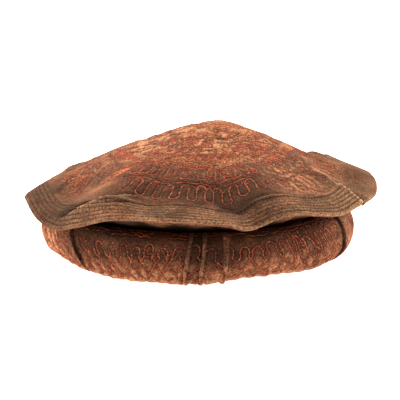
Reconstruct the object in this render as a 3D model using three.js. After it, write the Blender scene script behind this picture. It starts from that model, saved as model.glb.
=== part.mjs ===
// Pakol, a soft wool hat with a wide stitched brim and a thick band rolled up from its lower end.
// Millimetres, +Z up, the front of the hat towards -Y. It rests on the rolled band at z = 0.
// A bearing is an angle round the hat in degrees: 0 at the front, 90 at +X, 180 at the back.

import * as THREE from 'three';
import { ParametricGeometry } from 'three/addons/geometries/ParametricGeometry.js';
import { mergeVertices } from 'three/addons/utils/BufferGeometryUtils.js';

// Cloth
const cloth = 1.8;            // thickness of one layer of felted wool
const gap = 0.3;              // clearance between pieces that lie on each other
const hem = 1.6;              // the brim's lower layer ends this far inside the crown's edge

// Head and rolled band
const headRadius = 90;        // inside of the wall, a head of about 57 cm round
const rollWidth = 32.3;       // rolled band, across the roll
const rollHeight = 38;        // rolled band, from the table to its top
const rollShift = -2.4;       // the band sits this far along X from the crown
const footReach = 8.5;        // the wall's foot is turned out under the band by this much
const footBend = 3;           // radius of that turn, middle of the cloth
const tuckHeight = 2;         // pressed tucks stand this proud of the band
const creaseStep = 2.6;       // the overlap at a side crease
const sag = 3;                // how far the band's top and belly wander round the hat
const soleLift = 4;           // how far the band's sole lifts off the table in places

// Crown and brim
const brimOverhang = 13.6;    // the brim's mean edge stands out past the band
const neckRise = 13;          // the brim's mean edge above the band's top
const bandWidth = 21;         // stitched band along the brim's edge
const bandFall = 10;          // mean fall of that band from its lip to the edge
const crownRise = 43;         // apex above the band's mean lip
const brimWave = 15;          // height of the brim's waves
const troughDepth = 3;        // hollow just inside the lip
const ridgeHeight = 4;        // soft ridges on the crown
const apexShift = 16;         // the apex leans this far along X
const gatherDepth = 2.2;      // gathers of the neck, out and in
const gatherCount = 20;       // gathers round the neck
const steepest = 0.9;         // the stitched band never hangs steeper than this share of its width

// Worked out from the sizes above
const rollInner = headRadius + cloth + gap;
const rollOuter = rollInner + rollWidth;
const brimHeight = rollHeight + neckRise;
const lipHeight = brimHeight + bandFall;
const layerDepth = cloth + gap + cloth / 2;   // top of the crown to the middle of the lower layer
const wallRadius = headRadius + cloth / 2;

// Rows of facets round the hat, in degrees
const turn = 360;
const frontHalf = 90;
const frontStep = 3;
const backStep = 7.5;
const rollStep = 6;
const foldFlank = 0.7;        // width of a tuck's or crease's flank
const foldEdge = 0.03;        // its edge lies this close to the full height
const slopeReach = 1;         // slopes are read this far to each side

// Points closer than this are one point
const weld = 1e-4;

// Waves of the brim, a row for each crest and dip.
// reach: edge past the band, share of brimOverhang. edge, lip: height, share of brimWave.
// trough: hollow inside the lip, share of troughDepth.
const brimFolds = [
  { bearing: -172, reach: 1.00, edge: -0.10, lip: -0.10, trough: 0.5 },
  { bearing: -155, reach: 1.05, edge: 0.25, lip: 0.05, trough: 0.3 },
  { bearing: -139, reach: 1.00, edge: -0.10, lip: -0.25, trough: 0.6 },
  { bearing: -122, reach: 1.05, edge: -0.65, lip: -0.45, trough: 0.4 },
  { bearing: -105, reach: 1.08, edge: -0.58, lip: -0.52, trough: 0.2 },
  { bearing: -90, reach: 1.10, edge: -0.42, lip: -0.42, trough: 0.0 },
  { bearing: -76, reach: 1.08, edge: -0.28, lip: -0.48, trough: 0.4 },
  { bearing: -64, reach: 1.05, edge: -0.80, lip: -0.70, trough: 1.0 },
  { bearing: -52, reach: 1.00, edge: -1.00, lip: -0.57, trough: 0.7 },
  { bearing: -41, reach: 1.00, edge: -0.57, lip: -0.13, trough: 0.3 },
  { bearing: -30, reach: 1.00, edge: 0.00, lip: 0.10, trough: 0.3 },
  { bearing: -19, reach: 1.00, edge: 0.24, lip: -0.12, trough: 0.8 },
  { bearing: -8, reach: 1.00, edge: 0.22, lip: 0.02, trough: 1.0 },
  { bearing: 2, reach: 1.00, edge: 0.14, lip: -0.12, trough: 1.0 },
  { bearing: 9, reach: 0.98, edge: 0.04, lip: -0.38, trough: 0.8 },
  { bearing: 14.5, reach: 0.95, edge: -0.27, lip: -0.33, trough: 0.5 },
  { bearing: 19, reach: 0.72, edge: -0.20, lip: 0.03, trough: 0.2 },
  { bearing: 24, reach: 0.85, edge: 0.13, lip: 0.24, trough: 0.0 },
  { bearing: 31, reach: 1.00, edge: 0.29, lip: 0.25, trough: 0.0 },
  { bearing: 40, reach: 1.00, edge: 0.07, lip: -0.02, trough: 0.2 },
  { bearing: 50, reach: 1.00, edge: -0.20, lip: -0.13, trough: 0.4 },
  { bearing: 60, reach: 1.00, edge: -0.06, lip: -0.20, trough: 0.3 },
  { bearing: 69, reach: 1.08, edge: 0.02, lip: -0.22, trough: 0.4 },
  { bearing: 80, reach: 1.15, edge: 0.08, lip: -0.12, trough: 0.6 },
  { bearing: 93, reach: 1.12, edge: 0.42, lip: 0.20, trough: 0.2 },
  { bearing: 112, reach: 1.10, edge: 0.40, lip: 0.22, trough: 0.0 },
  { bearing: 134, reach: 1.00, edge: 0.12, lip: 0.12, trough: 0.2 },
  { bearing: 153, reach: 1.05, edge: 0.25, lip: 0.10, trough: 0.2 },
  { bearing: 171, reach: 1.00, edge: -0.20, lip: -0.05, trough: 0.6 },
];

// Crown from the apex to its lip. out: share of the lip's radius. up: share of crownRise.
// wave: how much of the lip's waves reaches here. dent: how much of the trough does.
const crownRows = [
  { out: 0.00, up: 1.000, wave: 0.00, dent: 0.0 },
  { out: 0.08, up: 0.980, wave: 0.00, dent: 0.0 },
  { out: 0.20, up: 0.870, wave: 0.00, dent: 0.0 },
  { out: 0.36, up: 0.695, wave: 0.04, dent: 0.0 },
  { out: 0.54, up: 0.495, wave: 0.15, dent: 0.0 },
  { out: 0.70, up: 0.305, wave: 0.38, dent: 0.1 },
  { out: 0.84, up: 0.145, wave: 0.66, dent: 0.8 },
  { out: 0.93, up: 0.055, wave: 0.86, dent: 0.9 },
  { out: 1.00, up: 0.000, wave: 1.00, dent: 0.0 },
];

// Long soft ridges and hollows on the crown. rim: bearing at the lip. turn: bearing gained on the way in.
// wide: half width in degrees at the lip. high: share of ridgeHeight.
// inner, outer: its two ends, share of the lip's radius.
const crownRidges = [
  { rim: 66, turn: 22, wide: 11, high: 0.9, inner: 0.55, outer: 1.15 },
  { rim: 84, turn: 16, wide: 10, high: -0.7, inner: 0.60, outer: 1.10 },
  { rim: 90, turn: 0, wide: 22, high: 0.7, inner: 0.10, outer: 0.85 },
  { rim: -122, turn: 14, wide: 13, high: 0.8, inner: 0.55, outer: 1.15 },
  { rim: -36, turn: 8, wide: 12, high: 0.5, inner: 0.45, outer: 1.05 },
  { rim: 28, turn: -6, wide: 12, high: 0.4, inner: 0.50, outer: 1.05 },
  { rim: -150, turn: 10, wide: 12, high: 0.5, inner: 0.50, outer: 1.05 },
];

// Stitched band of the brim, lip to edge, as shares of its run and fall.
const bandRows = [
  { out: 0.30, down: 0.20 },
  { out: 0.65, down: 0.58 },
  { out: 1.00, down: 1.00 },
];

// Neck, from the brim's seam down to the band. out: share of the way from the wall to the seam.
// up: share of the way from the band's top to the seam. loose: how much of the gathers shows.
const neckRows = [
  { out: 0.860, up: 0.94, loose: 0.2 },
  { out: 0.775, up: 0.70, loose: 0.7 },
  { out: 0.690, up: 0.40, loose: 1.0 },
  { out: 0.420, up: 0.17, loose: 0.6 },
];

// Wall inside the band, down to the foot. out: share of the way to the seam. low: share of rollHeight.
const wallRows = [
  { out: 0.100, low: 0.88 },
  { out: 0.000, low: 0.62 },
];

// Foot of the wall, turned out under the band. along: share of footReach, bend and rise: shares of footBend.
const footRows = [
  { along: 0, bend: 0.0, rise: 1.0 },
  { along: 0, bend: 0.4, rise: 0.2 },
  { along: 0, bend: 1.0, rise: 0.0 },
  { along: 1, bend: 0.0, rise: 0.0 },
];

// Section of the rolled band. out: -0.5 inside, 0.5 outside, share of rollWidth. up: share of rollHeight.
// loose: how far the tucks, creases and sag are felt. The sole stays flat on the table.
const rollRows = [
  { out: -0.500, up: 0.280, loose: 0.00 },
  { out: -0.500, up: 0.480, loose: 0.00 },
  { out: -0.440, up: 0.660, loose: 0.00 },
  { out: -0.330, up: 0.820, loose: 0.00 },
  { out: -0.170, up: 0.950, loose: 0.05 },
  { out: 0.010, up: 1.000, loose: 0.30 },
  { out: 0.190, up: 0.980, loose: 0.60 },
  { out: 0.350, up: 0.890, loose: 0.90 },
  { out: 0.450, up: 0.740, loose: 1.00 },
  { out: 0.500, up: 0.560, loose: 1.00 },
  { out: 0.485, up: 0.390, loose: 1.00 },
  { out: 0.430, up: 0.235, loose: 1.00 },
  { out: 0.330, up: 0.105, loose: 0.80 },
  { out: 0.230, up: 0.035, loose: 0.40 },
  { out: 0.140, up: 0.000, loose: 0.00 },
];

// Sag of the rolled band. top: rise of its top, belly: swell of its outside, shares of sag.
// lift: rise of its sole and of the wall's foot off the table, share of soleLift.
const rollSag = [
  { bearing: -150, top: 0.2, belly: 0.2, lift: 0.0 },
  { bearing: -115, top: -0.2, belly: 0.0, lift: 0.0 },
  { bearing: -90, top: -0.1, belly: 0.0, lift: 0.6 },
  { bearing: -72, top: 0.1, belly: 0.1, lift: 1.3 },
  { bearing: -56, top: 0.2, belly: 0.2, lift: 0.5 },
  { bearing: -38, top: 0.0, belly: -0.1, lift: 0.0 },
  { bearing: 2, top: 0.0, belly: 0.0, lift: 0.0 },
  { bearing: 17, top: 0.1, belly: 0.0, lift: 0.8 },
  { bearing: 29, top: 0.3, belly: 0.0, lift: 0.9 },
  { bearing: 47, top: 1.0, belly: -0.2, lift: 0.3 },
  { bearing: 75, top: 0.8, belly: 0.1, lift: 0.6 },
  { bearing: 110, top: 0.1, belly: 0.2, lift: 0.0 },
  { bearing: 160, top: -0.1, belly: -0.1, lift: 0.0 },
];

// Tucks and creases of the rolled band. bearing: at its top. lean: bearing gained down to the table.
// wide: half width in degrees, high: share of tuckHeight. step: share of creaseStep, fade: where it dies out.
const rollFolds = [
  { bearing: -52, lean: 12, wide: 0.5, high: 0, step: 1.0, fade: -34 },
  { bearing: -1.9, lean: -3.2, wide: 1.1, high: 1.0, step: 0, fade: 0 },
  { bearing: 3.0, lean: -2.4, wide: 1.1, high: 0.9, step: 0, fade: 0 },
  { bearing: 10.4, lean: -1.8, wide: 1.7, high: 1.0, step: 0, fade: 0 },
  { bearing: 63, lean: 3, wide: 0.5, high: 0, step: 0.8, fade: 30 },
];
const leanEnds = [{ bearing: -120, lean: 0 }, { bearing: 120, lean: 0 }];

// Smooth curve through the rows of a table that runs round the hat
function roundTable(rows, columns) {
  const before = rows.slice(-2).map((row) => ({ ...row, bearing: row.bearing - turn }));
  const after = rows.slice(0, 2).map((row) => ({ ...row, bearing: row.bearing + turn }));
  const ring = [...before, ...rows, ...after];
  const values = ring.flatMap((row) => columns.map((column) => row[column]));
  const curve = new THREE.CubicInterpolant(ring.map((row) => row.bearing), values, columns.length);
  return (bearing) => {
    const found = curve.evaluate(THREE.MathUtils.euclideanModulo(bearing + turn / 2, turn) - turn / 2);
    return Object.fromEntries(columns.map((column, i) => [column, found[i]]));
  };
}

// Smooth hump, 1 at the middle and 0 from one half width away
function hump(offset, halfWidth) {
  const share = Math.min(Math.abs(offset) / halfWidth, 1);
  return (1 - share * share) ** 2;
}

// Point at a bearing and radius, with its centre shifted along X
function around(bearing, radius, height, shift) {
  const angle = THREE.MathUtils.degToRad(bearing);
  return new THREE.Vector3(radius * Math.sin(angle) + shift, -radius * Math.cos(angle), height);
}

const wrapped = (degrees) => THREE.MathUtils.euclideanModulo(degrees + turn / 2, turn) - turn / 2;
const brimAt = roundTable(brimFolds, ['reach', 'edge', 'lip', 'trough']);
const sagAt = roundTable(rollSag, ['top', 'belly', 'lift']);
const leanAt = roundTable([leanEnds[0], ...rollFolds, leanEnds[1]], ['lean']);
const soleRise = (bearing) => soleLift * Math.max(sagAt(bearing).lift, 0);

// Edge and lip of the brim at a bearing
function brimLine(bearing) {
  const fold = brimAt(bearing);
  const edgeHeight = brimHeight + brimWave * fold.edge;
  const lip = lipHeight + brimWave * fold.lip;
  const edgeRadius = rollOuter + brimOverhang * fold.reach;
  const fall = Math.min(lip - edgeHeight, bandWidth * steepest);
  const run = Math.sqrt(bandWidth ** 2 - fall ** 2);
  return { edgeRadius, edgeHeight, lip, lipRadius: edgeRadius - run, trough: fold.trough };
}

// Height that the ridges add at a bearing and a share of the lip's radius
function ridges(bearing, out) {
  let height = 0;
  for (const row of crownRidges) {
    const middle = (row.inner + row.outer) / 2;
    const along = hump(out - middle, (row.outer - row.inner) / 2);
    const offset = wrapped(bearing - row.rim - row.turn * (1 - out));
    height += ridgeHeight * row.high * along * hump(offset * out, row.wide);
  }
  return height;
}

// Upper face of the crown at one row of its two tables, counted from the apex
const crownSteps = crownRows.length + bandRows.length - 1;
const lipStep = crownRows.length - 1;

function crownRow(bearing, step) {
  const line = brimLine(bearing);
  if (step > lipStep) {
    const row = bandRows[step - lipStep - 1];
    const radius = THREE.MathUtils.lerp(line.lipRadius, line.edgeRadius, row.out);
    const height = THREE.MathUtils.lerp(line.lip, line.edgeHeight, row.down);
    return around(bearing, radius, height + ridges(bearing, radius / line.lipRadius), 0);
  }
  const row = crownRows[step];
  const wave = (line.lip - lipHeight) * row.wave - troughDepth * line.trough * row.dent;
  const height = lipHeight + crownRise * row.up + wave + ridges(bearing, row.out);
  return around(bearing, line.lipRadius * row.out, height, apexShift * (1 - row.out) ** 2);
}

// Unit normal of a grid of points, from its neighbours along and across
function gridNormal(pointAt, bearing, step, firstStep, lastStep) {
  const across = pointAt(bearing + slopeReach, step).sub(pointAt(bearing - slopeReach, step));
  const next = pointAt(bearing, Math.min(step + 1, lastStep));
  const along = next.sub(pointAt(bearing, Math.max(step - 1, firstStep)));
  return across.cross(along).normalize().negate();
}

function crownNormal(bearing, step) {
  if (step === 0) return new THREE.Vector3(0, 0, 1);
  return gridNormal(crownRow, bearing, step, 0, crownSteps);
}

// Gathers of the neck, -1 to 1, evenly spaced but for a slow drift
function gathers(bearing) {
  const angle = THREE.MathUtils.degToRad(bearing);
  return Math.cos(gatherCount * angle + 1.1 * Math.sin(3 * angle) + 0.7 * Math.sin(5 * angle + 1));
}

// Middle of the side wall's cloth, from the brim's edge in along the band, down the neck and out at the foot
function bandLayer(bearing, step) {
  const place = crownSteps - step;
  const upper = crownRow(bearing, place);
  const under = upper.clone().addScaledVector(crownNormal(bearing, place), -layerDepth);
  if (step > 0) return under;
  return under.add(crownRow(bearing, place - 1).sub(upper).setLength(hem));
}

function neckLine(bearing, row) {
  const line = brimLine(bearing);
  const radius = THREE.MathUtils.lerp(wallRadius, line.lipRadius, row.out);
  const height = THREE.MathUtils.lerp(rollHeight, line.lip - layerDepth, row.up);
  const fold = gatherDepth * row.loose * gathers(bearing);
  return around(bearing, radius + fold, height, rollShift * (1 - row.out));
}

function wallLine(bearing, row) {
  const radius = THREE.MathUtils.lerp(wallRadius, brimLine(bearing).lipRadius, row.out);
  return around(bearing, radius, rollHeight * row.low, rollShift);
}

function footLine(bearing, row) {
  const reach = footReach * row.along + footBend * row.bend;
  return around(bearing, wallRadius + reach, footBend * row.rise + cloth / 2 + soleRise(bearing), rollShift);
}

const wallSections = [
  ...Array.from({ length: bandRows.length + 1 }, (_, step) => (bearing) => bandLayer(bearing, step)),
  ...neckRows.map((row) => (bearing) => neckLine(bearing, row)),
  ...wallRows.map((row) => (bearing) => wallLine(bearing, row)),
  ...footRows.map((row) => (bearing) => footLine(bearing, row)),
];
const wallRow = (bearing, step) => wallSections[step](bearing);

// Swell that sag, tucks and creases add to the rolled band
function rollSwell(bearing) {
  let swell = sag * sagAt(bearing).belly;
  for (const row of rollFolds) {
    const offset = wrapped(bearing - row.bearing);
    const past = row.step ? offset / row.fade : 1;
    swell += tuckHeight * row.high * (Math.abs(offset) < row.wide ? 1 : 0);
    swell += creaseStep * row.step * (past > 0 && past < 1 ? (1 - past) ** 1.5 : 0);
  }
  return swell;
}

// Outside of the rolled band at a row of its section
function rollRow(bearing, row) {
  const turned = bearing + leanAt(bearing).lean * (1 - row.up) * (row.out + 0.5);
  const radius = rollInner + rollWidth * (row.out + 0.5);
  const rise = sag * sagAt(bearing).top * row.loose * row.up + soleRise(bearing) * (1 - row.up);
  const out = new THREE.Vector2(row.out, Math.max(row.up - 0.5, 0)).normalize();
  const swell = rollSwell(bearing) * row.loose;
  return around(turned, radius + swell * out.x, rollHeight * row.up + rise + swell * out.y, rollShift);
}

// Flat sole of the band, then the notch that lies over the wall's foot
const soleRows = [
  { radius: wallRadius + footReach + 2 * gap, height: 0 },
  { radius: wallRadius + footReach + gap, height: cloth + gap },
  { radius: rollInner + footBend - cloth / 2, height: cloth + gap },
  { radius: rollInner, height: footBend + cloth / 2 },
];

// Bearings of the rows of facets, close together where the cloth is folded
function brimStations() {
  const stations = [];
  for (let bearing = -frontHalf; bearing < frontHalf; bearing += frontStep) stations.push(bearing);
  for (let bearing = frontHalf; bearing < turn - frontHalf; bearing += backStep) stations.push(bearing);
  return stations;
}

function rollStations() {
  const folds = rollFolds.flatMap((row) => {
    const edge = row.high ? row.wide : 0;
    return [row.bearing - edge - foldFlank, row.bearing - edge + foldEdge,
      row.bearing + edge - foldEdge, row.bearing + edge + foldFlank];
  });
  const plain = [];
  for (let bearing = -turn / 2; bearing < turn / 2; bearing += rollStep) {
    if (folds.every((fold) => Math.abs(fold - bearing) > rollStep / 3)) plain.push(bearing);
  }
  return [...plain, ...folds].sort((a, b) => a - b);
}

// Closed body from an outline repeated at each bearing. A shut outline runs back to its first point.
function bodyOfRows(stations, outlineAt, count, shut) {
  const outlines = stations.map((bearing) => Array.from({ length: count }, (_, i) => outlineAt(bearing, i)));
  const stacks = shut ? count : count - 1;
  const place = (u, v, target) => {
    const outline = outlines[Math.round((1 - u) * stations.length) % stations.length];
    target.copy(outline[Math.round(v * stacks) % count]);
  };
  const surface = new ParametricGeometry(place, stations.length, stacks);
  surface.deleteAttribute('normal');
  surface.deleteAttribute('uv');
  splitUpwards(surface);
  return withoutSlivers(mergeVertices(surface, weld));
}

// Each four-cornered facet is split along its higher diagonal, so that cloth lying on cloth stays parallel
function splitUpwards(geometry) {
  const corners = geometry.index.array;
  const height = (corner) => geometry.attributes.position.getZ(corner);
  for (let i = 0; i < corners.length; i += 6) {
    const [a, b, d, , c] = corners.slice(i, i + 6);
    if (height(a) + height(c) > height(b) + height(d)) corners.set([a, b, c, a, c, d], i);
  }
}

// Triangles that shrank to a line at the apex are dropped
function withoutSlivers(geometry) {
  const corners = geometry.index.array;
  const kept = [];
  for (let i = 0; i < corners.length; i += 3) {
    const [a, b, c] = corners.slice(i, i + 3);
    if (a !== b && b !== c && c !== a) kept.push(a, b, c);
  }
  geometry.setIndex(kept);
  geometry.computeVertexNormals();
  return geometry;
}

// Crown: upper face out to the edge, a rounded rim, then the lower face back to the axis
function crownOutline(bearing, index) {
  const last = 2 * crownSteps + 2;
  const step = Math.min(index, last - index, crownSteps);
  const upper = crownRow(bearing, step);
  const normal = crownNormal(bearing, step);
  if (index <= crownSteps) return upper;
  if (index > crownSteps + 1) return upper.addScaledVector(normal, -cloth);
  const outwards = crownRow(bearing, step).sub(crownRow(bearing, step - 1)).setLength(cloth / 2);
  return upper.addScaledVector(normal, -cloth / 2).add(outwards);
}

// Side wall: its outer face from the brim's edge to the foot, then its inner face back
function wallOutline(bearing, index) {
  const count = wallSections.length;
  const step = index < count ? index : 2 * count - 1 - index;
  const side = index < count ? 1 : -1;
  const normal = gridNormal(wallRow, bearing, step, 0, count - 1);
  return wallRow(bearing, step).addScaledVector(normal, side * cloth / 2);
}

// Rolled band: up its inside, over the top, down its outside, then the sole and the notch
function rollOutline(bearing, index) {
  if (index < rollRows.length) return rollRow(bearing, rollRows[index]);
  const corner = soleRows[index - rollRows.length];
  return around(bearing, corner.radius, corner.height + soleRise(bearing), rollShift);
}

// Named piece in plain wool of one colour
function piece(name, geometry, color) {
  const wool = new THREE.MeshStandardMaterial({ color, roughness: 0.95, metalness: 0 });
  const mesh = new THREE.Mesh(geometry, wool);
  mesh.name = name;
  return mesh;
}

const crown = bodyOfRows(brimStations(), crownOutline, 2 * crownSteps + 3, false);
const sideWall = bodyOfRows(brimStations(), wallOutline, 2 * wallSections.length, true);
const rolledBand = bodyOfRows(rollStations(), rollOutline, rollRows.length + soleRows.length, true);

const hat = new THREE.Group();
hat.add(piece('crown', crown, '#975c43'));
hat.add(piece('side_wall', sideWall, '#7c563f'));
hat.add(piece('rolled_band', rolledBand, '#8a4e34'));

// The origin lies under the middle of the hat, on the table
const extent = new THREE.Box3().setFromObject(hat);
hat.position.set(-(extent.min.x + extent.max.x) / 2, -(extent.min.y + extent.max.y) / 2, -extent.min.z);

export default hat;
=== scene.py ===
# %% [markdown]
# # A pakol, a soft wool hat with a wide stitched brim and a rolled band
#
# The hat is three pieces of felted wool. A round crown runs out to the edge of the brim. A tube of the same
# cloth is sewn under that edge: it makes the lower layer of the brim, a gathered neck and a wall round the head.
# The long end of the tube is rolled up outside into a thick band. This lesson dresses the plain CAD solids of
# those pieces in real cloth: dense surfaces, rows of stitching, chain-stitch embroidery, weave and fuzz.

# %% Start from the frame
import math

import bpy
import numpy as np
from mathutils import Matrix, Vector, kdtree


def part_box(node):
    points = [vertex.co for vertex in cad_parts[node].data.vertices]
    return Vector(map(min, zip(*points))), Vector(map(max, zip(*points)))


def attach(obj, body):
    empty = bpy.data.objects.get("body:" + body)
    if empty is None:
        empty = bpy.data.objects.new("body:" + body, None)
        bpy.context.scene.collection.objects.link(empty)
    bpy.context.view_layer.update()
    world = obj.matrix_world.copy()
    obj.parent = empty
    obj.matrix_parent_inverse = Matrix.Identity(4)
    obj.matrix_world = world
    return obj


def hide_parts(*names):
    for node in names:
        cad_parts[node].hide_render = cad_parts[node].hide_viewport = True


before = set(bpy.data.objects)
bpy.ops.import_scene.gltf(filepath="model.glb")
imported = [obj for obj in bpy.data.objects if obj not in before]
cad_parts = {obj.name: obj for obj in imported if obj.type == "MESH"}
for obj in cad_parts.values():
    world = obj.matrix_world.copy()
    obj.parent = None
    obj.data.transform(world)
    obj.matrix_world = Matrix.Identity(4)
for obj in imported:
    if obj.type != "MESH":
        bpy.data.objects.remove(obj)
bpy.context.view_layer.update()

# %% [markdown]
# ## Sizes of the hat
#
# Sizes are in millimetres until a mesh is made, because cloth is measured that way. They are the sizes of the
# CAD solids, so the dressed pieces lie where the solids lie. A bearing is an angle round the hat in degrees:
# 0 at the front, 90 at +X. Each table holds shares of one of these sizes, so a row reads as "how much of it".

# %% Named sizes
CLOTH = 1.8             # one layer of felted wool
GAP = 0.3               # clearance between pieces that lie on each other
HEM = 1.6               # the brim's lower layer ends this far inside the crown's edge
HEAD_RADIUS = 90.0
ROLL_WIDTH = 32.3       # thickness of the rolled band, from its inside to its outside
ROLL_HEIGHT = 38.0
ROLL_SHIFT = -2.4       # the band and the wall stand this far to the side of the crown's middle
FOOT_REACH = 8.5        # the wall's foot turns out under the band this far
FOOT_BEND = 3.0         # radius of that turn
TUCK_HEIGHT = 2.0
CREASE_STEP = 2.6       # one end of the roll stands this far over the other
SAG = 3.0               # rise and swell of the band where its table says 1
SOLE_LIFT = 4.0         # lift of the band's sole off the table where its table says 1
BRIM_OVERHANG = 13.6    # reach of the brim past the band
NECK_RISE = 13.0        # height of the brim's edge over the band
BAND_WIDTH = 21.0       # stitched band along the brim's edge
STITCH_ROWS = [3.0, 6.4, 9.8, 13.2, 16.6, 20.0]     # its rows of stitching, from the edge inwards
BAND_FALL = 10.0        # the lip lies this far over the brim's edge
CROWN_RISE = 43.0       # height of the tip over the lip
BRIM_WAVE = 15.0        # height of the brim's waves where their table says 1
TROUGH_DEPTH = 3.0      # hollow just inside the lip
RIDGE_HEIGHT = 4.0
APEX_SHIFT = 16.0       # the tip lies this far to the right
GATHER_DEPTH = 2.2
GATHER_COUNT = 20
STEEPEST = 0.9          # most of the stitched band's width that can go into its fall

ROLL_INNER = HEAD_RADIUS + CLOTH + GAP
ROLL_OUTER = ROLL_INNER + ROLL_WIDTH
BRIM_HEIGHT = ROLL_HEIGHT + NECK_RISE
LIP_HEIGHT = BRIM_HEIGHT + BAND_FALL
LAYER_DEPTH = CLOTH + GAP + CLOTH / 2
WALL_RADIUS = HEAD_RADIUS + CLOTH / 2
WEAVE_RADIUS = 125.0        # where the tube's weave is drawn at its true scale

# %% Tables of folds
# bearing, reach of the edge (of the overhang), edge and lip heights (of the wave), trough inside the lip
BRIM_FOLDS = [
    (-172, 1.00, -0.10, -0.10, 0.5), (-155, 1.05, 0.25, 0.05, 0.3), (-139, 1.00, -0.10, -0.25, 0.6),
    (-122, 1.05, -0.65, -0.45, 0.4), (-105, 1.08, -0.58, -0.52, 0.2), (-90, 1.10, -0.42, -0.42, 0.0),
    (-76, 1.08, -0.28, -0.48, 0.4), (-64, 1.05, -0.80, -0.70, 1.0), (-52, 1.00, -1.00, -0.57, 0.7),
    (-41, 1.00, -0.57, -0.13, 0.3), (-30, 1.00, 0.00, 0.10, 0.3), (-19, 1.00, 0.24, -0.12, 0.8),
    (-8, 1.00, 0.22, 0.02, 1.0), (2, 1.00, 0.14, -0.12, 1.0), (9, 0.98, 0.04, -0.38, 0.8),
    (14.5, 0.95, -0.27, -0.33, 0.5), (19, 0.72, -0.20, 0.03, 0.2), (24, 0.85, 0.13, 0.24, 0.0),
    (31, 1.00, 0.29, 0.25, 0.0), (40, 1.00, 0.07, -0.02, 0.2), (50, 1.00, -0.20, -0.13, 0.4),
    (60, 1.00, -0.06, -0.20, 0.3), (69, 1.08, 0.02, -0.22, 0.4), (80, 1.15, 0.08, -0.12, 0.6),
    (93, 1.12, 0.42, 0.20, 0.2), (112, 1.10, 0.40, 0.22, 0.0), (134, 1.00, 0.12, 0.12, 0.2),
    (153, 1.05, 0.25, 0.10, 0.2), (171, 1.00, -0.20, -0.05, 0.6),
]
# out (of the lip's radius), up (of the rise), share of the lip's wave, share of the trough
CROWN_ROWS = [
    (0.00, 1.000, 0.00, 0.0), (0.08, 0.980, 0.00, 0.0), (0.20, 0.870, 0.00, 0.0), (0.36, 0.695, 0.04, 0.0),
    (0.54, 0.495, 0.15, 0.0), (0.70, 0.305, 0.38, 0.1), (0.84, 0.145, 0.66, 0.8), (0.93, 0.055, 0.86, 0.9),
    (1.00, 0.000, 1.00, 0.0),
]
# bearing at the lip, bearing gained inwards, half width in degrees, height, inner and outer end
CROWN_RIDGES = [
    (66, 22, 11, 0.9, 0.55, 1.15), (84, 16, 10, -0.7, 0.60, 1.10), (90, 0, 22, 0.7, 0.10, 0.85),
    (-122, 14, 13, 0.8, 0.55, 1.15), (-36, 8, 12, 0.5, 0.45, 1.05), (28, -6, 12, 0.4, 0.50, 1.05),
    (-150, 10, 12, 0.5, 0.50, 1.05),
]
BAND_ROWS = [(0.30, 0.20), (0.65, 0.58), (1.00, 1.00)]                       # out, down
NECK_ROWS = [(0.860, 0.94, 0.2), (0.775, 0.70, 0.7), (0.690, 0.40, 1.0), (0.420, 0.17, 0.6)]  # out, up, loose
WALL_ROWS = [(0.100, 0.88), (0.000, 0.62)]                                   # out, low
FOOT_ROWS = [(0, 0.0, 1.0), (0, 0.4, 0.2), (0, 1.0, 0.0), (1, 0.0, 0.0)]     # along, bend, rise
# out (across the roll, -0.5 inside), up (of its height), how far folds and sag are felt
ROLL_ROWS = [
    (-0.500, 0.280, 0.00), (-0.500, 0.480, 0.00), (-0.440, 0.660, 0.00), (-0.330, 0.820, 0.00),
    (-0.170, 0.950, 0.05), (0.010, 1.000, 0.30), (0.190, 0.980, 0.60), (0.350, 0.890, 0.90),
    (0.450, 0.740, 1.00), (0.500, 0.560, 1.00), (0.485, 0.390, 1.00), (0.430, 0.235, 1.00),
    (0.330, 0.105, 0.80), (0.230, 0.035, 0.40), (0.140, 0.000, 0.00),
]
# bearing, rise of the top, swell of the outside, lift of the sole
ROLL_SAG = [
    (-150, 0.2, 0.2, 0.0), (-115, -0.2, 0.0, 0.0), (-90, -0.1, 0.0, 0.6), (-72, 0.1, 0.1, 1.3),
    (-56, 0.2, 0.2, 0.5), (-38, 0.0, -0.1, 0.0), (2, 0.0, 0.0, 0.0), (17, 0.1, 0.0, 0.8),
    (29, 0.3, 0.0, 0.9), (47, 1.0, -0.2, 0.3), (75, 0.8, 0.1, 0.6), (110, 0.1, 0.2, 0.0),
    (160, -0.1, -0.1, 0.0),
]
# bearing at the top, bearing gained down to the table, half width, tuck height, crease step, fade
ROLL_FOLDS = [
    (-52, 12, 0.5, 0.0, 1.0, -34), (-1.9, -3.2, 1.1, 1.0, 0.0, 0), (3.0, -2.4, 1.1, 0.9, 0.0, 0),
    (10.4, -1.8, 1.7, 1.0, 0.0, 0), (63, 3, 0.5, 0.0, 0.8, 30),
]

# %% [markdown]
# ## Smooth curves through a table
#
# The CAD solids join the rows of these tables with flat facets. Cloth bends smoothly, so here a curve runs
# through the same rows. Its slope at a row is the mean of the two straight steps beside it, which keeps the
# curve close to the facets.

# %% Curves and lumps
def cubic(stations, values, t):
    """Values at t on a smooth curve through values at the stations."""
    stations, values, t = np.asarray(stations, float), np.asarray(values, float), np.asarray(t, float)
    wide = (-1,) + (1,) * (values.ndim - 1)
    step = np.diff(stations)
    chord = np.diff(values, axis=0) / step.reshape(wide)
    slope = np.concatenate([chord[:1], (chord[:-1] + chord[1:]) / 2, chord[-1:]])
    i = np.clip(np.searchsorted(stations, t, side="right") - 1, 0, len(stations) - 2)
    h = step[i].reshape(wide)
    p = ((t - stations[i]) / step[i]).reshape(wide)
    return ((2 * p**3 - 3 * p**2 + 1) * values[i] + (p**3 - 2 * p**2 + p) * h * slope[i]
            + (3 * p**2 - 2 * p**3) * values[i + 1] + (p**3 - p**2) * h * slope[i + 1])


def wrapped(degrees):
    """The same bearings between -180 and 180."""
    return np.mod(np.asarray(degrees, float) + 180, 360) - 180


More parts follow.
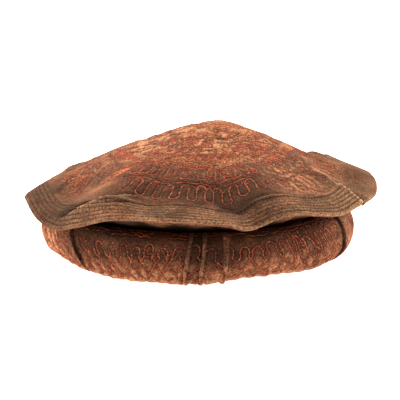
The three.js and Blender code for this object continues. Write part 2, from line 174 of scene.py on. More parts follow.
def round_table(rows):
    """Smooth curve through rows of (bearing, value, ...) that run round the hat."""
    rows = np.array(rows, float)
    before, after = rows[-2:].copy(), rows[:2].copy()
    before[:, 0] -= 360
    after[:, 0] += 360
    ring = np.vstack([before, rows, after])
    return lambda bearing: cubic(ring[:, 0], ring[:, 1:], wrapped(bearing)).T


def hump(offset, half):
    """1 at the middle, 0 from one half width away."""
    return (1 - np.minimum(np.abs(offset) / half, 1) ** 2) ** 2


def softened(offset, half, flank):
    """1 within half a width, falling smoothly to 0 over the flank outside it."""
    p = np.clip((half + flank - np.abs(offset)) / flank, 0, 1)
    return p * p * (3 - 2 * p)


def lumps(points, size, seed):
    """Smooth random value from -1 to 1 at points in mm, in lumps of about that size."""
    table = np.random.default_rng(seed).uniform(-1, 1, (32, 32, 32))
    place = np.asarray(points, float) / size + 1000.0
    cell = np.floor(place).astype(int)
    f = place - cell
    f = f * f * (3 - 2 * f)
    total = 0
    for corner in range(8):
        o = np.array([corner >> k & 1 for k in range(3)])
        at = (cell + o) % 32
        total = total + np.prod(np.where(o, f, 1 - f), axis=-1) * table[at[..., 0], at[..., 1], at[..., 2]]
    return total


def around(bearing, radius, height, shift=0.0):
    """Points at bearings round the hat, moved sideways by the shift."""
    angle = np.radians(bearing)
    x, y, z = np.broadcast_arrays(radius * np.sin(angle) + shift, -radius * np.cos(angle), height)
    return np.stack([x, y, z], axis=-1)


def length_along(points):
    """Length in mm from the first of some points, or from the first row of a grid, to each of the others."""
    steps = np.linalg.norm(np.diff(points, axis=0), axis=-1)
    return np.concatenate([[0], np.cumsum(steps if steps.ndim == 1 else steps.mean(axis=1))])


brim_at = round_table(BRIM_FOLDS)
sag_at = round_table(ROLL_SAG)
lean_at = round_table([(-120, 0)] + [row[:2] for row in ROLL_FOLDS] + [(120, 0)])
print("edge heights at the front, left and right:",
      (BRIM_HEIGHT + BRIM_WAVE * brim_at([0, -90, 90])[1]).round(1))

# %% [markdown]
# ## The crown's surface
#
# The crown is a low cone with its tip a little to one side. It waves more and more towards the lip, where the
# stitched band of the brim bends down. One way to make it would be a cloth simulation, but the folds of this
# hat have known places, so each meridian is drawn from the tables and the dense grid is filled between them.

# %% Meridians of the crown
def brim_line(b):
    """Radius and height of the brim's edge, height and radius of the lip, and depth of the trough."""
    reach, edge, lip, trough = brim_at(b)
    edge_height = BRIM_HEIGHT + BRIM_WAVE * edge
    lip_height = LIP_HEIGHT + BRIM_WAVE * lip
    edge_radius = ROLL_OUTER + BRIM_OVERHANG * reach
    fall = np.minimum(lip_height - edge_height, BAND_WIDTH * STEEPEST)
    return edge_radius, edge_height, lip_height, edge_radius - np.sqrt(BAND_WIDTH**2 - fall**2), trough


def ridges(b, out):
    """Height of the crown's slanting ridges, at a share of the lip's radius."""
    height = 0.0
    for rim, turn, wide, high, inner, outer in CROWN_RIDGES:
        along = hump(out - (inner + outer) / 2, (outer - inner) / 2)
        height = height + RIDGE_HEIGHT * high * along * hump(wrapped(b - rim - turn * (1 - out)) * out, wide)
    return height


def crown_rows(b):
    """Rows of points from the apex to the edge of the brim, one row for each row of the two tables."""
    edge_radius, edge_height, lip, lip_radius, trough = brim_line(b)
    rows = []
    for out, up, wave, dent in CROWN_ROWS:
        height = LIP_HEIGHT + CROWN_RISE * up + (lip - LIP_HEIGHT) * wave - TROUGH_DEPTH * trough * dent
        rows.append(around(b, lip_radius * out, height + ridges(b, out), APEX_SHIFT * (1 - out) ** 2))
    for out, down in BAND_ROWS:
        radius = lip_radius + (edge_radius - lip_radius) * out
        height = lip + (edge_height - lip) * down
        rows.append(around(b, radius, height + ridges(b, radius / lip_radius)))
    return np.array(rows)


COLUMNS = 640
bearings = np.arange(COLUMNS) * 360 / COLUMNS - 180
coarse = crown_rows(bearings)
row_places = length_along(coarse)
LIP_PLACE, EDGE_PLACE = row_places[len(CROWN_ROWS) - 1], row_places[-1]
LIP_ROW, BRIM_ROWS = 76, 30     # rows of the dense grid from the apex to the lip, and on to the edge
crown_places = np.concatenate([np.linspace(0, LIP_PLACE, LIP_ROW + 1)[:-1],
                               np.linspace(LIP_PLACE, EDGE_PLACE, BRIM_ROWS + 1)])
crown_base = cubic(row_places, coarse, crown_places)
print(f"crown: {LIP_PLACE:.1f} mm from the apex to the lip, {EDGE_PLACE:.1f} mm to the edge")

# %% [markdown]
# ## Lines on the cloth
#
# Stitching is planned as lines: bearings round the hat and places, which are millimetres of cloth from the tip.
# A function of the surface turns such a line into points and normals. A line wavers a little, because this work
# is done on a machine that is guided by hand.

# %% Points between the rows of a grid
def surface_of(grid, normals, columns, places):
    """Function that gives points and normals of a grid at bearings and places between its rows."""
    ring = np.append(columns, columns[0] + 360)
    count = len(columns)

    def at(b, s):
        b = np.mod(np.asarray(b, float) - ring[0], 360) + ring[0]
        j = np.clip(np.searchsorted(ring, b, side="right") - 1, 0, count - 1)
        u = ((b - ring[j]) / (ring[j + 1] - ring[j]))[:, None]
        i = np.clip(np.searchsorted(places, s, side="right") - 1, 0, len(places) - 2)
        v = ((np.asarray(s, float) - places[i]) / (places[i + 1] - places[i]))[:, None]
        m = (j + 1) % count
        blend = lambda g: (1 - v) * ((1 - u) * g[i, j] + u * g[i, m]) + v * ((1 - u) * g[i + 1, j] + u * g[i + 1, m])
        n = blend(normals)
        return blend(grid), n / np.linalg.norm(n, axis=1, keepdims=True)

    return at


# %% Normals of a grid, and nearness to lines on it
def grid_normals(grid):
    """Unit normals of a grid of rows that run round the hat, pointing out for rows listed from the apex down."""
    around_hat = np.roll(grid, -1, axis=1) - np.roll(grid, 1, axis=1)
    along = np.gradient(grid, axis=0)
    along[0], along[-1] = grid[1] - grid[0], grid[-1] - grid[-2]
    normal = np.cross(around_hat, along)
    normal /= np.maximum(np.linalg.norm(normal, axis=2, keepdims=True), 1e-9)
    return -normal


def nearness(lines, surface, grid, reach):
    """1 on a line, falling smoothly to 0 at about twice the reach in mm."""
    spots = []
    for b, s, _ in lines:
        at = surface(b, s)[0]
        run = length_along(at)
        fine = np.linspace(0, run[-1], max(int(run[-1] / 0.7), 2))
        spots.append(np.stack([np.interp(fine, run, at[:, k]) for k in range(3)], axis=1))
    spots = np.concatenate(spots)
    tree = kdtree.KDTree(len(spots))
    for k, spot in enumerate(spots):
        tree.insert(spot, k)
    tree.balance()
    gap = np.array([tree.find(point)[2] for point in grid.reshape(-1, 3)]).reshape(grid.shape[:2])
    return np.exp(-(gap / reach) ** 2)


# %% Lines for motifs
def plan(b, s, radius, tone, waver=0.7, seed=31):
    """A planned line: it wavers by up to that many mm, and keeps its tone at each point."""
    b, s = np.asarray(b, float), np.asarray(s, float)
    spot = around(b, radius, s)
    shift = lumps(spot, 6, seed), lumps(spot, 6, seed + 1)
    return b + np.degrees(waver * shift[0] / radius), s + waver * shift[1], np.broadcast_to(tone, b.shape)


def meander(place, radius, reach, pitch, swell):
    """Loops that swing in and out across a ring. swell rounds them out past their own necks."""
    count = round(2 * math.pi * radius / pitch)
    t = np.linspace(0, count, count * 20 + 1)
    swing = np.cos(2 * math.pi * t)
    swing = np.sign(swing) * np.abs(swing) ** 0.75
    return -180 + 360 * (t + swell / pitch * np.sin(4 * math.pi * t)) / count, place - reach * swing


def runs_of(line, kept):
    """The stretches of a line where kept is true, apart from scraps of one to three points."""
    there = np.flatnonzero(kept)
    runs = np.split(there, np.flatnonzero(np.diff(there) > 1) + 1)
    return [tuple(values[run] for values in line) for run in runs if len(run) > 3]


def broken(line, share, size, seed):
    """The runs that are left of a line when a share of it is worn away, in stretches of about that size in mm."""
    wear = lumps(around(line[0], 100, line[1]), size, seed)
    return runs_of(line, wear > np.quantile(wear, share))


# %% Motifs, in mm about their own middle
def drop(length, width, lean):
    """Outline of a leaf drop with its tip bent to one side."""
    t = np.linspace(0, 2 * math.pi, 40)
    y = length / 2 * np.cos(t)
    x = width / 2 * np.sin(t) * np.sin(t / 2) ** 1.2 * 1.25
    return x + lean * np.clip(y / length + 0.5, 0, 1) ** 2, -y


def spiral(outer, inner, turns=1.8):
    """A curl, from its outer radius to its inner one."""
    t = np.linspace(0, 1, int(16 * turns))
    r = outer + (inner - outer) * t
    return r * np.cos(2 * math.pi * turns * t), r * np.sin(2 * math.pi * turns * t)


def wheel(radius, spacing=2.0):
    """Rings inside each other."""
    t = np.linspace(0, 2 * math.pi, 26)
    return [(r * np.cos(t), r * np.sin(t)) for r in np.arange(radius, 1.0, -spacing)]


# %% [markdown]
# ## Plan of the crown's embroidery
#
# The crown carries chain stitch of a common kind. Near the lip round loops hang from a line, inside them lie
# scallops and rows of small crowded loops, then leaf drops and wheels run up to the tip. It is planned before the
# cloth gets its relief, because the thread pulls the wool down and the wool between the lines puffs up. The tone
# of a line picks its colour later: 0 is plain brown, then brick, red and rust up to orange at 1.

# %% Lay a line or a motif on the crown
crown_radius = np.maximum(np.linalg.norm((crown_base - crown_base[0].mean(axis=0))[..., :2], axis=2).mean(axis=1), 3.0)


def radius_at(s):
    """The crown's mean radius in mm at a place."""
    return np.interp(s, crown_places, crown_radius)


def regional(b, s):
    """Change of tone over the crown: plainer on both side slopes, more orange round its middle and at the tip."""
    b = wrapped(b)
    right = softened(b - 58, 20, 14) * np.clip((s - 62) / 14, 0, 1)
    left = softened(b + 92, 30, 14) * np.clip((s - 26) / 14, 0, 1) * np.clip((106 - s) / 12, 0, 1)
    return -0.36 * right - 0.30 * left + 0.14 * hump(s - 66, 14) + 0.10 * hump(s - 22, 16)


def on_ring(b, s, tone, waver=0.7, seed=31):
    """A planned line on the crown."""
    line = plan(b, s, radius_at(s), tone, waver, seed)
    return line[0], np.clip(line[1], 0.6, EDGE_PLACE), np.clip(line[2] + regional(line[0], line[1]), 0, 1)


def set_on(x, y, b0, s0, tone, turn=0.0):
    """A motif's line in mm, turned and moved to a bearing and place. y grows down the crown."""
    x, y = x * math.cos(turn) - y * math.sin(turn), x * math.sin(turn) + y * math.cos(turn)
    return on_ring(b0 + np.degrees(x / np.maximum(radius_at(s0 + y), 3.0)), s0 + y, tone, 0.5)


def ring(place, tone, waver=0.6, seed=40):
    """A plain line all round the crown."""
    return on_ring(np.linspace(-180, 180, 900), np.full(900, place), tone, waver, seed)


def loops(place, reach, pitch, swell, tone, waver=0.8, seed=50):
    """A line of loops all round the crown."""
    b, s = meander(place, float(radius_at(place)), reach, pitch, swell)
    return on_ring(b, s, tone, waver, seed)


# %% Rows and loose strokes of thread
def sewn_rows(rows, seed):
    """Rows of loops or plain rings, each with its share worn away."""
    lines = []
    for place, reach, pitch, swell, tone, waver, share, size in rows:
        line = loops(place, reach, pitch, swell, tone, waver, seed) if reach else ring(place, tone, waver, seed)
        lines += broken(line, share, size, seed + 1) if share else [line]
        seed += 2
    return lines


def strokes(count, places, span, length, tone, seed, slope=0.0):
    """Short loose lines over a part of the crown: between two places and two bearings."""
    chance = np.random.default_rng(seed)
    lines = []
    for _ in range(count):
        s0 = math.sqrt(chance.uniform(places[0] ** 2, places[1] ** 2))
        x = np.linspace(-0.5, 0.5, 10) * length * chance.uniform(0.6, 1.4)
        y = (slope + chance.uniform(-0.25, 0.25)) * x + 0.5 * np.sin(x * 1.3 + chance.uniform(0, 6))
        lines.append(set_on(x, y, chance.uniform(*span), s0, tone + chance.uniform(-0.2, 0.2)))
    return lines


# %% Loops near the lip and crowded rows inside them
# place, reach and pitch of its loops (none for a ring), swell, tone, waver, share worn away, size of the worn spots
LOOP_ROWS = [(84.8, 6.8, 12.9, 1.5, 0.46, 0.8, 0, 0), (96.2, 0, 0, 0, 0.34, 1.1, 0.15, 16),
             (83.0, 3.4, 12.9, 0.8, 0.26, 0.8, 0.45, 20), (89.5, 1.8, 6.4, 0.3, 0.20, 0.8, 0.60, 14)]
CROWDED_ROWS = [(77.2, 0, 0, 0, 0.40, 0.9, 0, 0), (73.6, 2.3, 4.7, 0.45, 0.50, 0.8, 0, 0),
                (69.4, 2.2, 4.3, 0.45, 0.66, 0.8, 0.20, 18), (66.2, 0, 0, 0, 0.60, 0.8, 0.25, 22),
                (63.0, 2.0, 5.0, 0.5, 0.56, 0.8, 0.35, 20), (58.8, 1.5, 4.2, 0.4, 0.40, 0.8, 0.50, 18)]

long_loops = loops(106.5, 8.8, 12.9, 1.35, 0.52, seed=50)
loop_lines = runs_of(long_loops, np.abs(wrapped(long_loops[0] + 47)) > 15)     # worn off beside the left fold
loop_lines += sewn_rows(LOOP_ROWS, 52)

crowded_lines = sewn_rows(CROWDED_ROWS, 60)
for place in (66.0, 67.5, 69.0, 70.5, 72.0):        # a patch of solid orange to the right of the middle
    crowded_lines.append(on_ring(np.linspace(9, 36, 60), np.full(60, place), 0.85, 0.5, 72))
crowded_lines += strokes(150, (46, 80), (-180, 180), 9.0, 0.50, 73)
crowded_lines += strokes(54, (66, 118), (30, 82), 10.0, 0.10, 74, slope=1.0)
crowded_lines += strokes(16, (80, 116), (-100, -60), 9.0, 0.40, 75, slope=-0.7)

# %% Leaf drops, wheels and rings up to the tip
TIP_ROWS = [(30.6, 0, 0, 0, 0.75, 0.6, 0, 0), (25.4, 2.5, 4.6, 0.5, 0.62, 0.8, 0, 0),
            (21.0, 0, 0, 0, 0.80, 0.6, 0.2, 12), (15.6, 2.5, 4.6, 0.5, 0.72, 0.8, 0, 0),
            (10.4, 0, 0, 0, 0.65, 0.4, 0, 0)]
DROPS, WHEELS = 15, 9

chance = np.random.default_rng(11)
motif_lines = []
for k in range(DROPS):
    b0, hand = -180 + 360 // DROPS * k + chance.uniform(-2, 2), 1 if k % 2 else -1
    for grow, tone in ((1.0, 0.50), (0.68, 0.70), (0.36, 0.90)):
        motif_lines.append(set_on(*drop(16 * grow, 11 * grow, 4 * grow * hand), b0, 53.5, tone))
    motif_lines.append(set_on(*spiral(3.2, 0.7), b0 + 12, 52 + 4 * (k % 2), 0.45))
motif_lines += sewn_rows([(45.6, 0, 0, 0, 0.70, 0.8, 0.2, 20)], 80)
for k in range(WHEELS):
    b0 = -25 + 360 // WHEELS * k
    for x, y in wheel(6.6 if k % 2 == 0 else 5.2):
        motif_lines.append(set_on(x, y * 0.85, b0, 38.5, 0.80 if k % 3 else 0.66))
    motif_lines.append(set_on(*spiral(3.2, 0.8), b0 + 20, 40, 0.5))
motif_lines += sewn_rows(TIP_ROWS, 82) + [ring(6.0, 0.8, 0.3, 91)]
motif_lines += strokes(60, (12, 44), (0, 90), 7.0, 0.80, 92) + strokes(50, (12, 46), (90, 360), 7.0, 0.62, 93)
for grow, tone in ((1.0, 0.62), (0.76, 0.75), (0.52, 0.85), (0.28, 0.95)):      # the large drop left of the middle
    motif_lines.append(set_on(*drop(26 * grow, 10 * grow, 3 * grow), -49, 87, tone, turn=0.55))
motif_lines.append(set_on(np.zeros(20), np.linspace(-8, 8, 20), 3, 53, 0.35))

# %% Brown wandering lines, and wear
WANDER_ROWS = [(101.0, 1.8, 6.4), (92.5, 1.6, 5.2), (79.6, 1.6, 5.0), (60.5, 1.8, 5.2), (49.0, 1.7, 4.8),
               (43.0, 1.6, 4.8), (34.0, 1.8, 4.8)]      # place, reach, pitch
WANDER_STROKES = [(-0.9, (-120, -20)), (0.1, (-20, 30)), (0.9, (30, 120)), (0.4, (120, 240))]     # slope, span

wander_lines = []
for k, (place, reach, pitch) in enumerate(WANDER_ROWS):
    wander_lines += broken(loops(place, reach, pitch, 0.4, 0.08, 1.2, seed=100 + 2 * k), 0.42, 14, 120 + k)


def unworn(lines, size, limit, seed):
    """Lines without the stretches where wear has taken the thread off and left the bare cloth."""
    kept = []
    for line in lines:
        b, s, _ = line
        wear = lumps(around(b, radius_at(s), 0), size, seed)
        more_on_left = 0.35 * softened(wrapped(b) + 92, 34, 14) * np.clip((s - 18) / 14, 0, 1)
        less_at_tip = 0.4 * (s < 20)
        kept += runs_of(line, wear + more_on_left < limit + less_at_tip)
    return kept


crowded_lines, motif_lines = unworn(crowded_lines, 10, 0.46, 201), unworn(motif_lines, 9, 0.34, 202)
for k, (slope, span) in enumerate(WANDER_STROKES):
    wander_lines += strokes(48, (14, 78), span, 8.0, 0.04, 203 + k, slope)
print(f"crown embroidery: {sum(map(len, (loop_lines, crowded_lines, motif_lines, wander_lines)))} lines")

# %% [markdown]
# ## Relief of the cloth
#
# Real cloth is never as smooth as its tables. The rows of stitching pull the brim into shallow grooves, each line
# of thread lies in a furrow, and felted wool has soft lumps. Each of these is a height in millimetres that moves
# the surface along its own normal, so the shape stays that of the solids.

# %% Folds and laps of the crown
# bearing and place of both ends of a fold, furrow depth, ridge height, width
CROWN_CREASES = [
    (-6, 31, 26, 38, 0.9, 0.9, 1.5), (-70, 52, -34, 43, 0.5, 0.5, 1.6), (30, 52, 62, 62, 0.5, 0.4, 1.8),
    (36, 84, 54, 112, 0.5, 0.5, 1.6),
    (-35, 134.5, -23, 131, 0.9, 0.4, 1.1), (52, 126, 22, 126, 0.7, 0.6, 1.3), (-84, 104, -70, 132, 0.5, 0.8, 3.0),
    (6, 112, 16, 138, 0.6, 1.0, 3.2), (-118, 60, -100, 74, 0.7, 0.7, 2.0), (140, 44, 170, 58, 0.6, 0.6, 1.8),
    (-160, 80, -140, 72, 0.6, 0.5, 2.0), (126, 98, 118, 146, 0.7, 1.6, 2.6), (-150, 100, -158, 144, 0.7, 1.4, 2.6),
]
# bearing and place of both ends of a fold that laps over the cloth to its right, height, width of its slope
CROWN_LAPS = [(72, 84, 62.5, 154, 3.2, 15), (-53, 144, -27, 119, 2.0, 9), (118, 100, 128, 154, 1.7, 14),
              (-162, 98, -150, 154, 1.5, 13)]


def beside_line(b, s, b0, s0, b1, s1):
    """Distance in mm to the left of a line over the crown, and how near its middle a place lies."""
    radius = float(radius_at((s0 + s1) / 2))
    run = np.array([math.radians(b1 - b0) * radius, s1 - s0])
    x, y = np.radians(wrapped(b - b0)) * radius, s - s0
    along = np.clip((x * run[0] + y * run[1]) / (run @ run), -0.2, 1.2)
    return (y * run[0] - x * run[1]) / math.hypot(*run), hump(along - 0.5, 0.62)


def ends_of(b, s, line):
    """1 along a lap and 0 past its ends, so that its crest runs on unbroken."""
    along = (s - line[1]) / (line[3] - line[1])
    return np.clip(along / 0.25, 0, 1) * np.clip((1.25 - along) / 0.25, 0, 1)


def crease_parts(b, s):
    """How deep in a furrow and how high on a ridge a place lies, in mm, and how near a crest (rubbed, with a painted
    highlight) or its foot (with a painted shade).
    """
    furrow = ridge = crest = foot = 0.0
    for *line, depth, high, wide in CROWN_CREASES:
        side, ends = beside_line(b, s, *line)
        furrow = furrow + depth * ends * np.exp(-(side / wide) ** 2)
        ridge = ridge + high * ends * np.exp(-((side - 2 * wide) / wide / 1.3) ** 2)
    for *line, high, slope in CROWN_LAPS:
        side, _ = beside_line(b, s, *line)
        ends = ends_of(b, s, line)
        rise = np.clip(side / 1.6 + 0.2, 0, 1)
        ridge = ridge + high * ends * rise * rise * (3 - 2 * rise) * np.exp(-np.maximum(side - 1.6, 0) / slope)
        furrow = furrow + 0.9 * ends * np.exp(-((side + 1.4) / 1.5) ** 2)
        # The crest is rubbed and also carries a painted highlight. The foot carries a painted shade.
        crest = crest + ends * high / 3.2 * np.exp(-((side - 1.3) / 1.5) ** 2)
        foot = foot + ends * np.exp(-((side + 4) / 4) ** 2)
    return furrow, ridge, crest, foot


# %% Relief of the crown
def rows_shown(b):
    """How much of the brim's stitch rows shows: on the right lobe the nap has grown over them."""
    return 1 - 0.92 * softened(wrapped(b) - 92, 18, 8)


def crown_relief(grid, places, sewn):
    """Height of stitched grooves, furrows beside the thread, creases and lumps over the crown."""
    inwards = (EDGE_PLACE - places)[:, None]
    grooves = sum(np.exp(-((inwards - row) / 0.6) ** 2) for row in STITCH_ROWS)
    band = 1 / (1 + np.exp((inwards - BAND_WIDTH - 1) / 1.2))
    pucker = lumps(grid * [1, 1, 2], 6.5, 3) * 0.40 + lumps(grid, 14, 4) * 0.55
    felt = lumps(grid, 2.6, 5) * 0.20
    fold = hump(inwards - BAND_WIDTH - 0.2, 2.6) * 1.3 - hump(inwards - BAND_WIDTH - 4.6, 3.0) * 0.9
    apex = np.minimum(places / 12, 1)[:, None]
    furrow, ridge = crease_parts(bearings[None, :], places[:, None])[:2]
    shown = rows_shown(bearings)[None, :]
    return (fold * (0.7 + 0.5 * lumps(grid, 30, 6)) + pucker * (1 - 0.5 * band) + felt + ridge - furrow
            - 0.60 * sewn * (1 - band) - 0.38 * shown * grooves * band) * apex


def off_the_laps(lines):
    """Lines without the stretches on the rubbed crest of a lap."""
    return [part for line in lines for part in runs_of(line, crease_parts(line[0], line[1])[2] < 0.45)]


# %% The crown's surface with its relief
loop_lines, crowded_lines, motif_lines, wander_lines = [
    off_the_laps(lines) for lines in (loop_lines, crowded_lines, motif_lines, wander_lines)]
base_normals = grid_normals(crown_base)
base_normals[0] = (0, 0, 1)
on_base = surface_of(crown_base, base_normals, bearings, crown_places)
crown_sewn = nearness(loop_lines + crowded_lines + motif_lines + wander_lines, on_base, crown_base, 1.15)
crown_top = crown_base + base_normals * crown_relief(crown_base, crown_places, crown_sewn)[..., None]
crown_normals = grid_normals(crown_top)
crown_normals[0] = (0, 0, 1)
print(f"crown relief moves the cloth by up to {np.linalg.norm(crown_top - crown_base, axis=2).max():.1f} mm")

# %% [markdown]
# ## Marks that the materials read
#
# A finish changes over the cloth: it is warmer where the embroidery is dense and paler where the nap is rubbed off.
# Light is painted into it as well: painted shade in the furrows, creases and hollows and under the brim, and painted
# highlights on crests, along the lip and on the lit ends and lower side of the rolled band. These marks are numbers
# from 0 to 1 at each point of the mesh, kept as attributes on it.

# %% Soft-edged regions and spots
ALL_ROUND = (0, 180, 1)     # bearing, half width and flank of a region that runs round the hat
ALL_PLACES = (0, 1e6)       # place and half height of a region that runs from edge to edge


def regions(b, s, rows):
    """Sum of regions: amount, middle bearing, half width and flank in degrees, middle place and half height in mm."""
    return sum(amount * softened(wrapped(b - at), half, flank) * hump(s - place, reach)
               for amount, at, half, flank, place, reach in rows)


def spots(b, s, rows):
    """Sum of soft spots on the crown: amount, bearing, place, width and height in mm."""
    return sum(amount * np.exp(-(np.radians(wrapped(b - b0)) * radius_at(s) / wide) ** 2 - ((s - s0) / high) ** 2)
               for amount, b0, s0, wide, high in rows)


# %% Marks of the crown: where it is warm
b_all, s_all = np.meshgrid(bearings, crown_places)
inwards = EDGE_PLACE - s_all        # mm from the brim's edge
WARM = [(0.85, 58, 20, 14, 90, 38), (0.45, -75, 22, 14, 88, 34), (-0.25, *ALL_ROUND, 4, 20)]
crown_warm = np.clip(1.30 - (s_all - 34) / 46, 0, 1) + 0.32 * lumps(crown_base, 22, 130) + regions(b_all, s_all, WARM)
crown_warm = crown_warm * (1 - regions(b_all, s_all, [(0.5, 0, 26, 14, 108, 22)]))

# %% Marks of the crown: where it is pale or dark, with painted highlights and painted shade
PALE_SPOTS = [(0.7, -38, 20, 6, 6), (0.4, 4, 53, 5, 3), (0.35, -52, 50, 12, 3), (0.6, 40, 46, 16, 3),
              (0.6, 64, 150, 5, 3)]
# Regions of painted shade on the crown
SHADE = [(0.50, 2, 28, 16, 39, 27), (0.44, 17, 5, 8, 24, 14), (0.52, -66, 16, 10, 10, 34),
         (0.16, *ALL_ROUND, 66, 18)]        # places counted from the edge

furrows, raised, crest_wear_and_highlight, feet = crease_parts(b_all, s_all)
# A painted highlight along the lip's fold. At the brim's edge a pale line that is part wear and part painted
# highlight.
lip_highlight = 0.10 + 0.38 * softened(b_all - 36, 14, 8) + 0.25 * np.maximum(lumps(crown_base, 24, 128), 0)
edge_wear_and_highlight = 0.26 - 0.24 * softened(b_all + 52, 26, 14)
slopes = 0.35 + 0.65 * np.clip((np.abs(b_all) - 24) / 30, 0, 1)
streaks = lumps(around(b_all, 60, s_all * 0.16), 4.5, 210) * slopes * hump(s_all - 56, 52)
# Painted shade in the grooves of the stitch rows, stronger in some stretches than in others
row_groove_shade = sum(np.exp(-((inwards - row) / 0.5) ** 2) for row in STITCH_ROWS) * rows_shown(b_all)
row_shade_strength = (1 + 0.6 * softened(b_all - 42, 18, 8)) * (0.7 + 0.9 * lumps(crown_base, 11, 138))

# Paler: worn spots, the tip, streaks and lumps of the wool, rubbed crests, and painted highlights on crests, ridges,
# lip and edge
crown_pale_and_highlight = (spots(b_all, s_all, PALE_SPOTS) + 0.12 * hump(s_all - 8, 12) + 0.34 * np.maximum(streaks, 0)
              + 0.75 * np.minimum(crest_wear_and_highlight, 1) + 0.08 * np.minimum(raised, 1)
              + lip_highlight * hump(inwards - BAND_WIDTH - 1.6, 2.4) + edge_wear_and_highlight * np.exp(-inwards / 1.1)
              + 0.20 * np.clip((24 - inwards) / 6, 0, 1) * np.maximum(lumps(crown_base, 11, 137), -0.2)
              + 0.14 * np.clip((20 - inwards) / 3, 0, 1) * softened(b_all, 60, 20)
              + 0.20 * np.maximum(lumps(crown_base, 9, 131), 0) ** 2)
# Darker: painted shade in the stitch grooves, in the shade regions, at the feet of the laps and in the furrows; a
# darker band on the lobe where the rows are hidden; and the wool's own darker streaks and spots
crown_dark_and_shade = (0.60 * row_groove_shade * row_shade_strength + regions(b_all, inwards, SHADE) + 0.24 * np.maximum(-streaks, 0)
              + 0.24 * (1 - rows_shown(b_all)) * hump(inwards - 12, 34) + 0.48 * feet
              + 0.70 * np.minimum(furrows, 1) + 0.22 * np.maximum(lumps(crown_base, 6, 139), 0))
crown_marks = {"sewn": crown_sewn, "warm": crown_warm, "pale": crown_pale_and_highlight, "dark": crown_dark_and_shade}
print("mean warmth of the crown", crown_warm.mean().round(2))

# %% [markdown]
# ## From grids to closed cloth
#
# A sheet of cloth has two faces and a thin rounded edge. The rows of the upper face, the edge and the lower face
# are stacked into one long grid and joined into a single closed mesh. Each corner also gets a place on the flat
# cloth, its UV, in metres. The crown was cut from a flat round of cloth, so its weave runs straight across it,
# while on the tube it runs round and along.

# %% The hat's place in the frame
MM = 0.001
crown_centre = (crown_base.reshape(-1, 3).min(0) + crown_base.reshape(-1, 3).max(0)) / 2
crown_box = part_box("crown")
SHIFT = np.array([(crown_box[0][k] + crown_box[1][k]) / 2 / MM - crown_centre[k] for k in (0, 1)] + [0.0])
print("the hat's own centre lies", np.round(SHIFT, 2), "mm from the frame's")


# %% Make a mesh from stacked rows
def placed(name, data):
    """A new object in the scene, at the origin and unturned."""
    made = bpy.data.objects.new(name, data)
    bpy.context.scene.collection.objects.link(made)
    return made


def mark(mesh, label, values):
    """Stores a number at each point of a mesh, for a material or a tree to read."""
    mesh.attributes.new(label, "FLOAT", "POINT").data.foreach_set("value", np.asarray(values, np.float32))


def stacked(name, grid, flat, shut=False, poles=False, marks=None):
    """Closed mesh from rows of points round the hat. flat gives each row's place on the flat cloth."""
    rows, columns = grid.shape[:2]
    index = np.arange(rows * columns).reshape(rows, columns)
    if poles:
        index[0], index[-1] = index[0, 0], index[-1, 0]
    faces, uv = [], []
    for i in range(rows if shut else rows - 1):
        k = (i + 1) % rows
        for j in range(columns):
            m = (j + 1) % columns
            ids = [int(index[i, j]), int(index[i, m]), int(index[k, m]), int(index[k, j])]
            spots = [flat[i][j], flat[i][j + 1], flat[i + 1][j + 1], flat[i + 1][j]]
            if poles and i == 0:
                ids, spots = ids[1:], spots[1:]
            elif poles and k == rows - 1:
                ids, spots = ids[:3], spots[:3]
            faces.append(ids)
            uv.extend(spots)
    used = np.unique(index)
    fresh = np.zeros(rows * columns, int)
    fresh[used] = np.arange(len(used))
    mesh = bpy.data.meshes.new(name)
    mesh.from_pydata(((grid.reshape(-1, 3)[used] + SHIFT) * MM).tolist(), [], [fresh[face].tolist() for face in faces])
    mesh.uv_layers.new(name="cloth").data.foreach_set("uv", (np.asarray(uv) * MM).astype(np.float32).ravel())
    for label, values in (marks or {}).items():
        whole = np.zeros((rows, columns))
        whole[:len(values)] = values
        mark(mesh, label, np.clip(whole.ravel()[used], 0, 1))
    mesh.polygons.foreach_set("use_smooth", [True] * len(mesh.polygons))
    mesh.update()
    print(f"{name}: {sum(len(face) - 2 for face in faces)} triangles")
    return placed(name, mesh)


# %% Crown, a round of cloth with its edge
EDGE_TURNS = 3          # rows round the cloth's edge


def rounded_edge(upper, normals, thickness):
    """Rows that carry an upper face round its last row to the lower face."""
    outwards = upper[-1] - upper[-2]
    outwards /= np.linalg.norm(outwards, axis=1, keepdims=True)
    rows = []
    for k in range(1, EDGE_TURNS + 1):
        angle = math.pi * k / (EDGE_TURNS + 1)
        rows.append(upper[-1] - normals[-1] * thickness / 2 * (1 - math.cos(angle))
                    + outwards * thickness / 2 * math.sin(angle))
    return np.array(rows)


crown_under = crown_base - base_normals * CLOTH
crown_under[0] = crown_base[0] - np.array([0, 0, CLOTH])
crown_rim = rounded_edge(crown_top, crown_normals, CLOTH)
under_rows = np.unique(np.r_[0:LIP_ROW:4, LIP_ROW:len(crown_places):3, len(crown_places) - 1])[::-1]
crown_grid = np.concatenate([crown_top, crown_rim, crown_under[under_rows]])
crown_reach = np.concatenate([crown_places, EDGE_PLACE + 0.5 * np.arange(1, EDGE_TURNS + 1), crown_places[under_rows]])
turned = np.radians(np.append(bearings, 180.0))
crown_flat = [np.stack([r * np.sin(turned), -r * np.cos(turned)], axis=1) for r in crown_reach]
crown_marks = {label: np.vstack([values, np.repeat(values[-1:], EDGE_TURNS, axis=0)])
               for label, values in crown_marks.items()}
crown_marks["outside"] = np.ones((len(crown_places) + EDGE_TURNS, COLUMNS))
crown = stacked("crown_cloth", crown_grid, crown_flat, poles=True, marks=crown_marks)

# %% [markdown]
# ## The side wall
#
# From the brim's edge the tube runs in under the stitched band, falls in soft gathers to the neck, and then goes
# straight down round the head. Its foot turns out under the rolled band. The gathers are where the wide brim is
# drawn in to the head's size, so they are strongest at the neck and gone at the wall.

